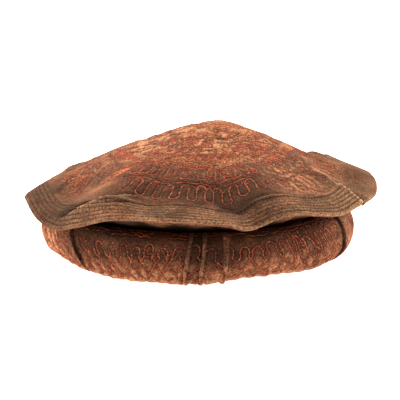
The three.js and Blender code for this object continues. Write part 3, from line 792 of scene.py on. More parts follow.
# %% Sections of the side wall
def gathers(b):
    """Wave of the neck's gathers, broad and fine together."""
    a = np.radians(b)
    broad = np.cos(GATHER_COUNT * a + 1.1 * np.sin(3 * a) + 0.7 * np.sin(5 * a + 1))
    fine = np.cos(53 * a + 2.0 * np.sin(4 * a + 2) + 1.3 * np.sin(7 * a))
    return broad + 0.30 * fine


def sole_rise(b):
    """Height of the roll's sole over the table."""
    return SOLE_LIFT * np.maximum(sag_at(b)[2], 0)


def wall_rows(b):
    """Middle of the cloth, from the brim's edge in along the band, down the neck and out at the foot."""
    rows = crown_rows(b)
    beside = (crown_rows(b + 1), crown_rows(b - 1))
    line = brim_line(b)
    layers = []
    last = len(rows) - 1
    for step in range(len(BAND_ROWS) + 1):
        place = last - step
        across = beside[0][place] - beside[1][place]
        along = rows[min(place + 1, last)] - rows[place - 1]
        normal = np.cross(across, along)
        normal /= -np.linalg.norm(normal, axis=1, keepdims=True)
        under = rows[place] - normal * LAYER_DEPTH
        if step == 0:
            inwards = rows[place - 1] - rows[place]
            under = under + inwards / np.linalg.norm(inwards, axis=1, keepdims=True) * HEM
        layers.append(under)
    lip, lip_radius = line[2], line[3]
    for out, up, loose in NECK_ROWS:
        radius = WALL_RADIUS + (lip_radius - WALL_RADIUS) * out + GATHER_DEPTH * loose * gathers(b)
        height = ROLL_HEIGHT + (lip - LAYER_DEPTH - ROLL_HEIGHT) * up
        layers.append(around(b, radius, height, ROLL_SHIFT * (1 - out)))
    for out, low in WALL_ROWS:
        radius = WALL_RADIUS + (lip_radius - WALL_RADIUS) * out
        layers.append(around(b, radius, ROLL_HEIGHT * low, ROLL_SHIFT))
    for along, bend, rise in FOOT_ROWS:
        height = FOOT_BEND * rise + CLOTH / 2 + sole_rise(b)
        layers.append(around(b, WALL_RADIUS + FOOT_REACH * along + FOOT_BEND * bend, height, ROLL_SHIFT))
    return np.array(layers)


wall_coarse = wall_rows(bearings)
wall_places = length_along(wall_coarse)
WALL_LENGTH = wall_places[-1]
fine_places = np.linspace(0, WALL_LENGTH, 46)
wall_middle = cubic(wall_places, wall_coarse, fine_places)
wall_normals = grid_normals(wall_middle)
loose_cloth = hump(fine_places - wall_places[5], 26)[:, None]
wall_relief = (lumps(wall_middle, 3, 8) * 0.15 + lumps(wall_middle * [1, 1, 0.3], 6, 9) * 1.1) * loose_cloth
wall_outer = wall_middle + wall_normals * (CLOTH / 2 + wall_relief)[..., None]
wall_inner = wall_middle - wall_normals * CLOTH / 2
print(f"side wall: {WALL_LENGTH:.1f} mm from the brim's edge to its foot")

# %% Side wall, a closed tube of cloth
# The wall's dark mark is painted shade: it is darkest low down under the brim, below a height that changes round the
# hat.
inner_rows = np.unique(np.r_[0:len(fine_places):4, len(fine_places) - 1])[::-1]
wall_grid = np.concatenate([wall_outer, wall_inner[inner_rows]])
wall_grid[..., 2] = np.maximum(wall_grid[..., 2], 0.0)
around_cloth = np.linspace(0, 2 * math.pi * WEAVE_RADIUS, COLUMNS + 1)
wall_reach = np.concatenate([fine_places, 2 * WALL_LENGTH + CLOTH - fine_places[inner_rows], [2 * WALL_LENGTH + 4]])
wall_flat = [np.stack([around_cloth, np.full(COLUMNS + 1, r)], axis=1) for r in wall_reach]
painted_shade_height = 46.5 + 10 * softened(bearings + 44, 14, 8) - 2 * softened(bearings - 42, 8, 6)
wall_marks = {"warm": 0.5 + 0.5 * lumps(wall_middle, 15, 132), "pale": 0.3 * np.maximum(lumps(wall_middle, 8, 133), 0),
              "dark": np.clip((painted_shade_height - wall_middle[..., 2]) / 5, 0, 0.96)}
wall = stacked("side_wall_cloth", wall_grid, wall_flat, shut=True, marks=wall_marks)

# %% [markdown]
# ## The rolled band
#
# The end of the tube is rolled up on itself several times, so it makes a thick soft ring. Only its outermost turn
# shows. Three tucks are pressed into the front of it: each is a fold of cloth that stands up like a blunt ridge.
# At each side one end of the roll laps over the other in a crease. The ring is drawn as one closed section that
# runs round the hat, and its folds are heights along the section's own outward direction.

# %% Section of the rolled band
SOLE_ROWS = [(WALL_RADIUS + FOOT_REACH + 2 * GAP, 0.0), (WALL_RADIUS + FOOT_REACH + GAP, CLOTH + GAP),
             (ROLL_INNER + FOOT_BEND - CLOTH / 2, CLOTH + GAP), (ROLL_INNER, FOOT_BEND + CLOTH / 2)]


def roll_swell(b):
    """How far the roll's outside stands out: its slow swell, the tucks and the creases."""
    swell = SAG * sag_at(b)[1]
    for at, _, wide, high, step, fade in ROLL_FOLDS:
        offset = wrapped(b - at)
        swell = swell + TUCK_HEIGHT * high * softened(offset, wide * 0.55, wide * 0.55)
        if step:
            past = np.clip(offset / fade, 0, 1)
            swell = swell + CREASE_STEP * step * np.where(offset / fade > 0, (1 - past) ** 1.5, 0)
    return swell


def roll_rows(b):
    """Rows of points round the roll's section, from its inside over the top and down to the sole."""
    rows = []
    for out, up, loose in ROLL_ROWS:
        turn = b + lean_at(b)[0] * (1 - up) * (out + 0.5)
        rise = SAG * sag_at(b)[0] * loose * up + sole_rise(b) * (1 - up)
        swell = roll_swell(b) * loose
        outwards = np.array([out, max(up - 0.5, 0)]) / math.hypot(out, max(up - 0.5, 0))
        rows.append(around(turn, ROLL_INNER + ROLL_WIDTH * (out + 0.5) + swell * outwards[0],
                           ROLL_HEIGHT * up + rise + swell * outwards[1], ROLL_SHIFT))
    return np.array(rows)


def crowded(count, folds, spread, weight):
    """Bearings round the hat that crowd together near its folds."""
    fine = np.linspace(-180, 180, 20001)
    density = 1 + sum(weight * np.exp(-((fine - f) / spread) ** 2) for f in folds)
    total = np.concatenate([[0], np.cumsum((density[1:] + density[:-1]) / 2)])
    return np.interp(np.arange(count) / count, total / total[-1], fine)


ROLL_COLUMNS = 760
roll_bearings = crowded(ROLL_COLUMNS, [row[0] for row in ROLL_FOLDS], 2.6, 5.0)
roll_coarse = roll_rows(roll_bearings)
roll_places = length_along(roll_coarse)
ROLL_LENGTH = roll_places[-1]
roll_fine = np.concatenate([np.linspace(0, roll_places[3], 8)[:-1], np.linspace(roll_places[3], ROLL_LENGTH, 74)])
roll_base = cubic(roll_places, roll_coarse, roll_fine)
roll_normals = grid_normals(roll_base)
print("places of the roll's top, belly and sole:", roll_places[[5, 9, 14]].round(1))

# %% [markdown]
# ## Plan of the rolled band's embroidery
#
# The end of the tube was embroidered before it was rolled up. The row that shows on the outside is a chain of
# upright arches. Their feet cross their neighbours' and make a lattice of crosses near the table, and a row of
# broken red lines runs over the roll's top, under the brim. Towards the right crease the arches lean over.

# %% Rows of the rolled band
def on_band(b, s, tone, waver=0.7, seed=140):
    """A planned line on the rolled band."""
    return plan(b, s, ROLL_OUTER, tone, waver, seed)


def arches(pitch, lean_at_right, seed):
    """One line for each arch. Its feet cross those of the arches beside it."""
    half = pitch / 2
    foot = 81.0
    side = np.array([(1.5 * pitch, foot), (pitch + 2.8, 77.8), (pitch, 73.2), (half + 2.8, 68.4), (half, 63.8),
                     (3.3, 60.2), (3.9, 56.4), (3.1, 52.8), (1.3, 51.0)])
    x, y = np.concatenate([-side[:, 0], side[::-1, 0]]), np.concatenate([side[:, 1], side[::-1, 1]])
    step = np.linspace(0, len(x) - 1, 90)
    x, y = np.interp(step, np.arange(len(x)), x), np.interp(step, np.arange(len(y)), y)
    count = round(2 * math.pi * ROLL_OUTER / pitch)
    chance = np.random.default_rng(seed)
    lines = []
    for k in range(count):
        b0 = -180 + 360 * k / count + chance.uniform(-0.6, 0.6)
        lean = lean_at_right * float(softened(b0 - 44, 10, 16)) + chance.uniform(-0.06, 0.06)
        tall = chance.uniform(0.92, 1.06)
        plain = 0.336 * float(softened(b0 + 84, 22, 6))
        line = on_band(b0 + np.degrees((x + lean * (y - 60)) / ROLL_OUTER), foot - (foot - y) * tall,
                       0.50 - plain + chance.uniform(-0.14, 0.14), 0.8, seed)
        lines += broken(line, 0.10, 5, seed + k)
    return lines


# place, reach and pitch of its waves, tone, share worn away
BAND_LINES = [(43.0, 0.7, 9.0, 0.32, 0.45), (39.5, 0.6, 17.0, 0.28, 0.40), (76.5, 2.6, 5.9, 0.62, 0.35),
              (58.0, 2.4, 5.9, 0.12, 0.70), (33.0, 1.8, 6.0, 0.25, 0.50), (26.0, 2.0, 8.0, 0.20, 0.45)]
# count, first bearing, step, turn of both ends, place of the lower end, tone, gain in tone, share worn away, seed
UPRIGHTS = [(7, 33.0, 3.4, (-1.0, 2.6), 68, 0.40, 0.08, 0.12, 178),
            (6, -77.0, 4.0, (-0.4, 1.2), 78, 0.22, 0.0, 0.15, 190)]

roll_lines = arches(11.8, 0.45, 150)
for k, (place, reach, pitch, tone, share) in enumerate(BAND_LINES):
    wave = on_band(*meander(place, ROLL_OUTER, reach, pitch, 0.3), tone, 1.0, 160 + 3 * k)
    roll_lines += broken(wave, share, 12, 161 + 3 * k)
for count, first, step, turn, end, tone, gain, share, seed in UPRIGHTS:
    for k in range(count):
        b = first + step * k + np.linspace(*turn, 30)
        upright = on_band(b, np.linspace(46, end, 30), tone + gain * (k % 3), 0.9, seed)
        roll_lines += broken(upright, share, 5, seed + 1 + k)


def off_the_tucks(line):
    """A line without the stretches that are folded away inside a tuck or a crease."""
    b, s, tone = line
    free = np.all([(np.abs(wrapped(b - row[0])) > (1.1 if row[3] else 0.9)) | ((s > 68) & (row[3] > 0))
                   for row in ROLL_FOLDS], axis=0)
    return runs_of(line, free)


roll_lines = [part for line in roll_lines for part in off_the_tucks(line)]
print(f"band embroidery: {len(roll_lines)} lines")

# %% Puckers, tucks and gathers of the rolled band
def tuck_sides(b, s):
    """Furrows on both flanks of each tuck, and the recess between the first two."""
    depth = 0.0
    for at, _, wide, high, *_ in ROLL_FOLDS:
        if high:
            offset = wrapped(b - at)
            flank = 0.45 + 0.45 * wide
            depth = depth + 1.1 * softened(np.abs(offset) - flank, 0.05, 0.45)
            depth = depth - (0.5 + 0.9 * hump(s - 83, 12)) * high * softened(offset, flank * 0.3, flank * 0.5)
    return depth + 0.8 * softened(b - 0.6, 1.2, 0.9)


b_grid, s_grid = np.meshgrid(roll_bearings, roll_fine)
on_bare_roll = surface_of(roll_base, roll_normals, roll_bearings, roll_fine)
roll_sewn = nearness(roll_lines, on_bare_roll, roll_base, 1.25)
outer_side = hump(s_grid - roll_places[10], 44)
belly = hump(s_grid - roll_places[11], 22)
arc = np.radians(b_grid) * ROLL_OUTER
slant = np.where(b_grid < 0, 0.35, -0.35) * np.clip(np.abs(b_grid) / 30, 0, 1)
pleats = np.cos(arc / 1.9 + 2.2 * np.sin(arc / 60) + s_grid * slant) * (0.55 + 0.45 * lumps(roll_base, 22, 11))
left_gathers = softened(b_grid + 62, 16, 10) * np.cos((arc * 0.9 + s_grid * 0.45) / 1.5)
roll_relief = (lumps(roll_base, 7, 12) * 0.55 + lumps(roll_base, 16, 13) * 0.7 + lumps(roll_base, 2.6, 14) * 0.22
               + 0.45 * pleats * belly + 0.50 * left_gathers * belly - 0.60 * roll_sewn
               + 0.9 * np.sin(arc / 1.75 + 1.3 * np.sin(arc / 23)) * hump(s_grid - 80, 13) * softened(b_grid, 48, 16)
               - tuck_sides(b_grid, s_grid)) * outer_side
roll_outside = roll_base + roll_normals * roll_relief[..., None]
roll_outside[..., 2] = np.maximum(roll_outside[..., 2], 0.0)
sole = np.array([around(roll_bearings, radius, height + sole_rise(roll_bearings), ROLL_SHIFT)
                 for radius, height in SOLE_ROWS])

# %% Marks of the rolled band
tuck_tops = sum(softened(wrapped(b_grid - row[0]), row[2] * 0.4, row[2] * 0.5) for row in ROLL_FOLDS if row[3])
# Painted shade along the creases
creases = sum(softened(wrapped(b_grid - row[0] - 0.3 * np.sign(row[0])), 0.15, 0.8) for row in ROLL_FOLDS if row[4])
# The warm regions lie low on the roll and at both ends: a warmer colour that also paints the light falling there. The
# pale regions are painted light: the lit strip beside the right crease, the lit left end, the lower front and the
# lower left. The dark regions are painted shade: the roll's top under the brim, the middle of its front, its right
# side.
ROLL_WARM_AND_LIT = [(0.95, *ALL_ROUND, 82, 22), (0.55, 92, 20, 34, *ALL_PLACES), (0.55, -92, 20, 34, *ALL_PLACES)]
ROLL_PAINTED_LIGHT = [(0.45, 68, 2.2, 2.0, *ALL_PLACES), (0.40, -84, 16, 10, *ALL_PLACES), (0.55, -12, 66, 20, 82, 15),
             (0.50, -50, 26, 12, 84, 16)]
ROLL_PAINTED_SHADE = [(0.90, *ALL_ROUND, 34, 21), (0.20, 0, 30, 20, 56, 14), (0.16, 10, 32, 16, 62, 24),
             (0.22, 60, 14, 14, *ALL_PLACES)]
roll_warm_and_lit = 0.12 + 0.40 * lumps(roll_base, 20, 134) + regions(b_grid, s_grid, ROLL_WARM_AND_LIT)
# Paler on the tucks' tops, in rubbed specks and in lumps of the wool, plus the painted light of the pale regions
roll_pale_and_lit = (0.14 * tuck_tops + 1.1 * tuck_tops * np.maximum(lumps(roll_base * [1, 1, 0.6], 2.2, 135), 0) ** 1.5
             + 0.40 * np.maximum(lumps(roll_base, 7, 136), 0) ** 2 + regions(b_grid, s_grid, ROLL_PAINTED_LIGHT))
# Painted shade on the tucks' flanks, along the creases, in the valleys of the gathers and in the dark regions
roll_painted_shade = (0.14 * np.clip(tuck_sides(b_grid, s_grid), 0, 1) + 0.75 * creases
             + 0.26 * belly * np.maximum(-left_gathers, 0) ** 2 + regions(b_grid, s_grid, ROLL_PAINTED_SHADE))
roll_marks = {"sewn": roll_sewn, "warm": roll_warm_and_lit, "pale": roll_pale_and_lit, "dark": roll_painted_shade,
              "outside": (outer_side > 0.05) & (roll_outside[..., 2] > 3)}

# %% Rolled band, one closed section round the hat
roll_grid = np.concatenate([roll_outside, sole])
roll_reach = np.concatenate([roll_fine, ROLL_LENGTH + np.array([6.0, 9.0, 14.0, 17.0]), [ROLL_LENGTH + 26.0]])
roll_around = np.append(np.radians(roll_bearings + 180), 2 * math.pi) * WEAVE_RADIUS
roll_flat = [np.stack([roll_around, np.full(ROLL_COLUMNS + 1, r)], axis=1) for r in roll_reach]
roll = stacked("rolled_band_cloth", roll_grid, roll_flat, shut=True, marks=roll_marks)

# %% [markdown]
# ## Materials
#
# A finish is a tree of nodes. One small function adds a node with its settings and its links, so that a tree
# reads from top to bottom. Colours are written as sRGB hex values, as a dyer's card would give them, and one
# function turns them into the linear values that the shader works in.

# %% Colours and nodes
def linear(hex_colour):
    """Linear RGBA of an sRGB hex colour."""
    parts = [int(hex_colour[i:i + 2], 16) / 255 for i in (1, 3, 5)]
    return tuple(c / 12.92 if c <= 0.04045 else ((c + 0.055) / 1.055) ** 2.4 for c in parts) + (1.0,)


def node(tree, kind, settings=None, **links):
    """Adds a node. settings are its own values. links fill its sockets, by name or as _number: each is a value,
    a node, which stands for its first output, or a (node, output)."""
    made = tree.nodes.new(kind)
    for key, value in (settings or {}).items():
        setattr(made, key, value)
    for key, value in links.items():
        socket = made.inputs[int(key[1:]) if key[0] == "_" else key.replace("_", " ")]
        if isinstance(value, bpy.types.Node):
            value = (value, 0)
        if isinstance(value, tuple) and isinstance(value[0], bpy.types.Node):
            tree.links.new(value[0].outputs[value[1]], socket)
        else:
            socket.default_value = value
    return made


def new_material(name):
    """An empty material and its tree."""
    material = bpy.data.materials.new(name)
    material.use_nodes = True
    material.node_tree.nodes.clear()
    return material, material.node_tree


# %% Marks, noise and ranges
def read_mark(tree, label):
    """A number that was stored at each point of the mesh."""
    return node(tree, "ShaderNodeAttribute", {"attribute_name": label}), "Fac"


def noise(tree, place, size, **settings):
    """Cloudy pattern with lumps of about that size in metres."""
    return node(tree, "ShaderNodeTexNoise", Vector=(place, "Object"), Scale=1 / size, **settings), "Fac"


def ranged(tree, value, start, end, low=0.0, high=1.0):
    """A value between start and end, turned into one between low and high."""
    return node(tree, "ShaderNodeMapRange", Value=value, From_Min=start, From_Max=end, To_Min=low, To_Max=high)


# %% [markdown]
# ## Felted wool
#
# The cloth is undyed sheep's wool, woven in twill and then felted, so the weave shows only as a faint grain under a
# short nap. To the eye it is dull and soft: a brown that is never even, with olive and reddish fibres in it, a
# little paler where it is rubbed. Several patterns are layered over the marks on the mesh, some at their real size
# and the finest ones coarser. Wool has an IOR near 1.55, but its nap scatters light, so the plain gloss is turned
# low and sheen gives the soft edge.

# %% Wool material
# Sizes of the patterns in metres
CLOUD = 0.022           # uneven wool and wear
MOTTLE = 0.0042         # clumps of darker fibre
NAP_LUMP = 0.0016       # tufts of nap. Real ones are 0.3 mm, drawn coarser so that they show
GRAIN = 0.0017          # twill lines. Real ones are 0.7 mm apart, drawn coarser so that they show


def felted_wool(name, olive, brown, warm, pale, dark, furrow_shade_when_warm=0.46):
    """Wool whose marks blend it from olive and brown to warm, pale and dark. Furrows beside the thread get painted
    shade.
    """
    material, tree = new_material(name)
    place = node(tree, "ShaderNodeTexCoord")
    marks = {label: read_mark(tree, label) for label in ("sewn", "warm", "pale", "dark")}
    cloud = noise(tree, place, CLOUD, Detail=4.0, Roughness=0.62)
    fleck = noise(tree, place, NAP_LUMP, Detail=2.0, Roughness=0.7)
    mottle = noise(tree, place, MOTTLE, Detail=3.0, Roughness=0.65)
    cloth = node(tree, "ShaderNodeUVMap", {"uv_map": "cloth"})
    wave = node(tree, "ShaderNodeTexWave", {"bands_direction": "DIAGONAL"}, Vector=cloth, Scale=0.314 / GRAIN,
                Distortion=3.0, Detail=2.0, Detail_Scale=2.5)
    twill = (wave, "Fac")
    # Colours, each laid over the ones before it
    tint = ranged(tree, cloud, 0.38, 0.64)
    specks = ranged(tree, mottle, 0.50, 0.72, 0.0, 0.45)
    colour = linear(olive)
    # The pale mark holds painted highlights as well as rubbed wear, and on the rolled band the warm mark holds painted
    # light too
    for share, laid in ((tint, brown), (marks["warm"], warm), (specks, olive), (marks["pale"], pale)):
        colour = (node(tree, "ShaderNodeMix", {"data_type": "RGBA"}, _0=share, _6=colour, _7=linear(laid)), 2)
    for pattern in (ranged(tree, fleck, 0.34, 0.66, 0.30, 1.70), ranged(tree, twill, 0.0, 1.0, 0.97, 1.03)):
        colour = node(tree, "ShaderNodeVectorMath", {"operation": "SCALE"}, _0=colour, Scale=pattern)
    # Painted shade: the furrows beside the thread and the dark mark darken the colour towards the dark one
    furrow_shade_strength = ranged(tree, marks["warm"], 0.0, 1.0, 0.76, furrow_shade_when_warm)
    furrow = node(tree, "ShaderNodeMath", {"operation": "MULTIPLY_ADD", "use_clamp": True}, _0=marks["sewn"],
                  _1=furrow_shade_strength, _2=marks["dark"])
    shaded = node(tree, "ShaderNodeMix", {"data_type": "RGBA"}, _0=furrow, _6=colour, _7=linear(dark))
    # Height of clumps, then of nap and twill
    rough = node(tree, "ShaderNodeMath", {"operation": "MULTIPLY_ADD"}, _0=twill, _1=0.25, _2=fleck)
    coarse = node(tree, "ShaderNodeBump", Strength=0.55, Distance=0.0009, Height=mottle)
    fine = node(tree, "ShaderNodeBump", Strength=0.60, Distance=0.0004, Height=rough, Normal=coarse)
    surface = node(tree, "ShaderNodeBsdfPrincipled", Base_Color=(shaded, 2), Normal=fine, Roughness=0.95, IOR=1.55,
                   Specular_IOR_Level=0.08, Sheen_Weight=0.18, Sheen_Roughness=0.5, Sheen_Tint=linear("#c09268"))
    node(tree, "ShaderNodeOutputMaterial", Surface=surface)
    return material


# The last colour of each wool is the dark one that its painted shade darkens towards
CROWN_WOOL = felted_wool("felted twill wool, crown", "#4c3122", "#603826", "#ad7554", "#a98360", "#20110a")
WALL_WOOL = felted_wool("felted twill wool, side wall", "#40291e", "#5c3828", "#8a523c", "#966c56", "#2c211b")
BAND_WOOL = felted_wool("felted twill wool, rolled band", "#39271a", "#482a1b", "#9d6042", "#b37d59", "#23160f",
                        furrow_shade_when_warm=0.80)
for piece, wool in ((crown, CROWN_WOOL), (wall, WALL_WOOL), (roll, BAND_WOOL)):
    piece.data.materials.append(wool)

# %% [markdown]
# ## Stitches by Geometry Nodes
#
# A seam or a line of embroidery is one small shape repeated along a path on the cloth. Geometry Nodes do that
# well: the path is resampled at the stitch length, a stitch is placed on each point and turned along the path,
# and its underside faces the cloth. The paths are the planned lines laid on the dense surface, so the stitches
# lie in their furrows and follow every fold.

# %% Paths on the finished surfaces
on_crown = surface_of(crown_top, crown_normals, bearings, crown_places)
on_roll = surface_of(roll_outside, grid_normals(roll_outside), roll_bearings, roll_fine)


def paths_on(name, lines, surface):
    """Mesh of bare edges along planned lines, with the cloth's normal and the line's tone at each point."""
    points, normals, tones, edges = [], [], [], []
    for b, s, tone in lines:
        run = length_along(surface(b, s)[0])
        fine = np.linspace(0, run[-1], max(int(run[-1] / 0.9), 3))
        at, normal = surface(np.interp(fine, run, b), np.interp(fine, run, s))
        start = len(points)
        points.extend(at)
        normals.extend(normal)
        tones.extend(np.interp(fine, run, tone))
        edges.extend((start + k, start + k + 1) for k in range(len(at) - 1))
    mesh = bpy.data.meshes.new(name)
    mesh.from_pydata(((np.array(points) + SHIFT) * MM).tolist(), edges, [])
    outwards = mesh.attributes.new("outwards", "FLOAT_VECTOR", "POINT")
    outwards.data.foreach_set("vector", np.array(normals, np.float32).ravel())
    mark(mesh, "tone", tones)
    return placed(name, mesh)


# %% A tree that sews one stitch after another
def named_inputs(tree, numbers, material):
    """Gives a tree its inputs: the geometry, the named sizes, a seed and a material."""
    face = tree.interface
    face.new_socket("Geometry", in_out="INPUT", socket_type="NodeSocketGeometry")
    for label, start in numbers:
        face.new_socket(label, in_out="INPUT", socket_type="NodeSocketFloat").default_value = start
    face.new_socket("Seed", in_out="INPUT", socket_type="NodeSocketInt").default_value = 1
    face.new_socket(material, in_out="INPUT", socket_type="NodeSocketMaterial")
    face.new_socket("Geometry", in_out="OUTPUT", socket_type="NodeSocketGeometry")
    return node(tree, "NodeGroupInput")


def stitch_tree(name, corners):
    """Places a stitch on each point of a resampled path. It is a long ring with so many corners, of thin thread."""
    tree = bpy.data.node_groups.new(name, "GeometryNodeTree")
    given = named_inputs(tree, (("Stitch length", 0.0024), ("Ring length", 0.0022), ("Ring width", 0.0008),
                                ("Thread radius", 0.0003), ("Height", 0.0002), ("Unevenness", 0.12)), "Thread")
    curve = node(tree, "GeometryNodeMeshToCurve", Mesh=(given, "Geometry"))
    spaced = node(tree, "GeometryNodeResampleCurve", {"mode": "LENGTH"}, Curve=curve, Length=(given, "Stitch length"))
    ring_shape = node(tree, "GeometryNodeCurvePrimitiveCircle", Resolution=corners, Radius=0.5)
    size = node(tree, "ShaderNodeCombineXYZ", X=(given, "Ring length"), Y=(given, "Ring width"), Z=1.0)
    long_ring = node(tree, "GeometryNodeTransform", Geometry=ring_shape, Scale=size)
    strand = node(tree, "GeometryNodeCurvePrimitiveCircle", Resolution=3, Radius=(given, "Thread radius"))
    stitch = node(tree, "GeometryNodeCurveToMesh", Curve=long_ring, Profile_Curve=strand)
    along = node(tree, "GeometryNodeInputTangent")
    outwards = node(tree, "GeometryNodeInputNamedAttribute", {"data_type": "FLOAT_VECTOR"}, Name="outwards")
    level = node(tree, "FunctionNodeAlignRotationToVector", {"axis": "X"}, Vector=along)
    upright = node(tree, "FunctionNodeAlignRotationToVector", {"axis": "Z", "pivot_axis": "X"},
                   Rotation=level, Vector=outwards)
    least = node(tree, "ShaderNodeMath", {"operation": "SUBTRACT"}, _0=1.0, _1=(given, "Unevenness"))
    most = node(tree, "ShaderNodeMath", {"operation": "ADD"}, _0=1.0, _1=(given, "Unevenness"))
    spread = node(tree, "FunctionNodeRandomValue", {"data_type": "FLOAT"}, Seed=(given, "Seed"), _2=least, _3=most)
    raised = node(tree, "ShaderNodeVectorMath", {"operation": "SCALE"}, _0=outwards, Scale=(given, "Height"))
    lifted = node(tree, "GeometryNodeSetPosition", Geometry=spaced, Offset=raised)
    stitches = node(tree, "GeometryNodeInstanceOnPoints", Points=lifted, Instance=stitch, Rotation=upright,
                    Scale=(spread, 1))
    shade = node(tree, "FunctionNodeRandomValue", {"data_type": "FLOAT"}, Seed=7)
    shaded = node(tree, "GeometryNodeStoreNamedAttribute", {"data_type": "FLOAT", "domain": "INSTANCE"},
                  Geometry=stitches, Name="shade", Value=(shade, 1))
    real = node(tree, "GeometryNodeRealizeInstances", Geometry=shaded)
    round_faces = node(tree, "GeometryNodeSetShadeSmooth", Geometry=real)
    sewn = node(tree, "GeometryNodeSetMaterial", Geometry=round_faces, Material=(given, "Thread"))
    node(tree, "NodeGroupOutput", Geometry=sewn)
    return tree


def run_tree(start, tree, **values):
    """Runs a Geometry Nodes tree on an object and returns its result as a plain mesh object."""
    modifier = start.modifiers.new("nodes", "NODES")
    modifier.node_group = tree
    for item in tree.interface.items_tree:
        label = item.name.replace(" ", "_")
        if item.item_type == "SOCKET" and item.in_out == "INPUT" and label in values:
            modifier[item.identifier] = values[label]
    start.update_tag()
    scene_state = bpy.context.evaluated_depsgraph_get()
    mesh = bpy.data.meshes.new_from_object(start.evaluated_get(scene_state), preserve_all_data_layers=True,
                                           depsgraph=scene_state)
    name, old = start.name, start.data
    bpy.data.objects.remove(start)
    bpy.data.meshes.remove(old)
    mesh.name = name
    mesh.calc_loop_triangles()
    print(f"{name}: {len(mesh.loop_triangles)} triangles")
    return placed(name, mesh)


CHAIN_TREE = stitch_tree("chain stitch", 6)
DASH_TREE = stitch_tree("running stitch", 4)

# %% [markdown]
# ## Thread
#
# The embroidery is two-ply worsted wool, spun and dyed in small lots, so every few stitches differ a little. It is
# smoother than the nap around it and catches a soft light along each loop. Its tone picks a colour between plain
# brown and orange, and each stitch's own shade moves it a little.

# %% Thread material
DYE_LOT = 0.012         # metres: stretches sewn from one length of thread
PLY = 0.0005            # metres: turns of the two plies


def thread(name, colours):
    """Thread whose colour runs through a list by its tone, each stitch a little lighter or darker by its shade."""
    material, tree = new_material(name)
    tone, shade = read_mark(tree, "tone"), read_mark(tree, "shade")
    place = node(tree, "ShaderNodeTexCoord")
    lot, turns = noise(tree, place, DYE_LOT, Detail=2.0), noise(tree, place, PLY, Detail=2.0)
    drift = ranged(tree, lot, 0.3, 0.7, -0.16, 0.16)
    each = ranged(tree, shade, 0.0, 1.0, -0.18, 0.18)
    moved = node(tree, "ShaderNodeMath", {"operation": "ADD"}, _0=drift, _1=each)
    mixed = node(tree, "ShaderNodeMath", {"operation": "ADD", "use_clamp": True}, _0=tone, _1=moved)
    ramp = node(tree, "ShaderNodeValToRGB", Fac=mixed)
    stops = ramp.color_ramp.elements
    while len(stops) < len(colours):
        stops.new(0.5)
    for k, colour in enumerate(colours):
        stops[k].position, stops[k].color = k / (len(colours) - 1), linear(colour)
    colour = ramp
    for pattern in (ranged(tree, shade, 0.0, 1.0, 0.68, 1.30), ranged(tree, turns, 0.3, 0.7, 0.72, 1.22)):
        colour = node(tree, "ShaderNodeVectorMath", {"operation": "SCALE"}, _0=colour, Scale=pattern)
    twist = node(tree, "ShaderNodeBump", Strength=0.5, Distance=0.0002, Height=turns)
    surface = node(tree, "ShaderNodeBsdfPrincipled", Base_Color=colour, Normal=twist, Roughness=0.75, IOR=1.55,
                   Specular_IOR_Level=0.25, Sheen_Weight=0.3, Sheen_Roughness=0.5, Sheen_Tint=linear("#cc8e68"))
    node(tree, "ShaderNodeOutputMaterial", Surface=surface)
    return material


WOOL_THREAD = thread("worsted embroidery wool", ["#6b4630", "#8a3925", "#a6462b", "#b16039", "#b77f56"])
BRIM_THREAD = thread("brown cotton sewing thread", ["#2f2118", "#3f2c1e", "#54392a"])

# %% [markdown]
# ## Brim stitching
#
# Six rows of running stitch hold the brim's two layers together. The thread is brown cotton, darker than the wool,
# and each stitch shows as a dash of two to three millimetres, with the next one 3 mm on.

# %% Rows of running stitch
brim_lines = [plan(np.linspace(-180, 180, 900), np.full(900, EDGE_PLACE - row), 130, 0.2 + 0.1 * k, 0.3, 20 + k)
              for k, row in enumerate(STITCH_ROWS)]
brim_lines = [part for line in brim_lines for part in runs_of(line, rows_shown(line[0]) > 0.5)]
brim_stitches = run_tree(paths_on("brim_stitches", brim_lines, on_crown), DASH_TREE, Stitch_length=0.0030,
                         Ring_length=0.0022, Ring_width=0.0005, Thread_radius=0.00036, Height=0.00005,
                         Unevenness=0.25, Seed=3, Thread=BRIM_THREAD)

# %% Embroidery of the crown and the band
CHAIN = dict(Stitch_length=0.0024, Ring_length=0.0022, Ring_width=0.00062, Thread_radius=0.00032,
             Height=0.00018, Unevenness=0.18, Thread=WOOL_THREAD)
CROWN_LINES = {"crown_loops": loop_lines, "crown_crowded_rows": crowded_lines, "crown_motifs": motif_lines,
               "crown_wandering_lines": wander_lines}
embroidery = [run_tree(paths_on(label, lines, on_crown), CHAIN_TREE, Seed=seed, **CHAIN)
              for seed, (label, lines) in enumerate(CROWN_LINES.items(), start=11)]
clear_of_table = [part for line in roll_lines for part in runs_of(line, on_roll(line[0], line[1])[0][:, 2] > 1.0)]
FINE_CHAIN = CHAIN | dict(Ring_width=0.00052, Thread_radius=0.00028)
band_embroidery = run_tree(paths_on("band_arches", clear_of_table, on_roll), CHAIN_TREE, Seed=15, **FINE_CHAIN)

# %% [markdown]
# ## Nap and stray fibres
#
# Felted wool has loose fibres that stand off it. They soften its outline and catch the light. One bent fibre is
# scattered over the outer faces, turned at random about the cloth's normal. Real fibres are 0.03 mm thick, and
# these are about five times that so that some of them show.

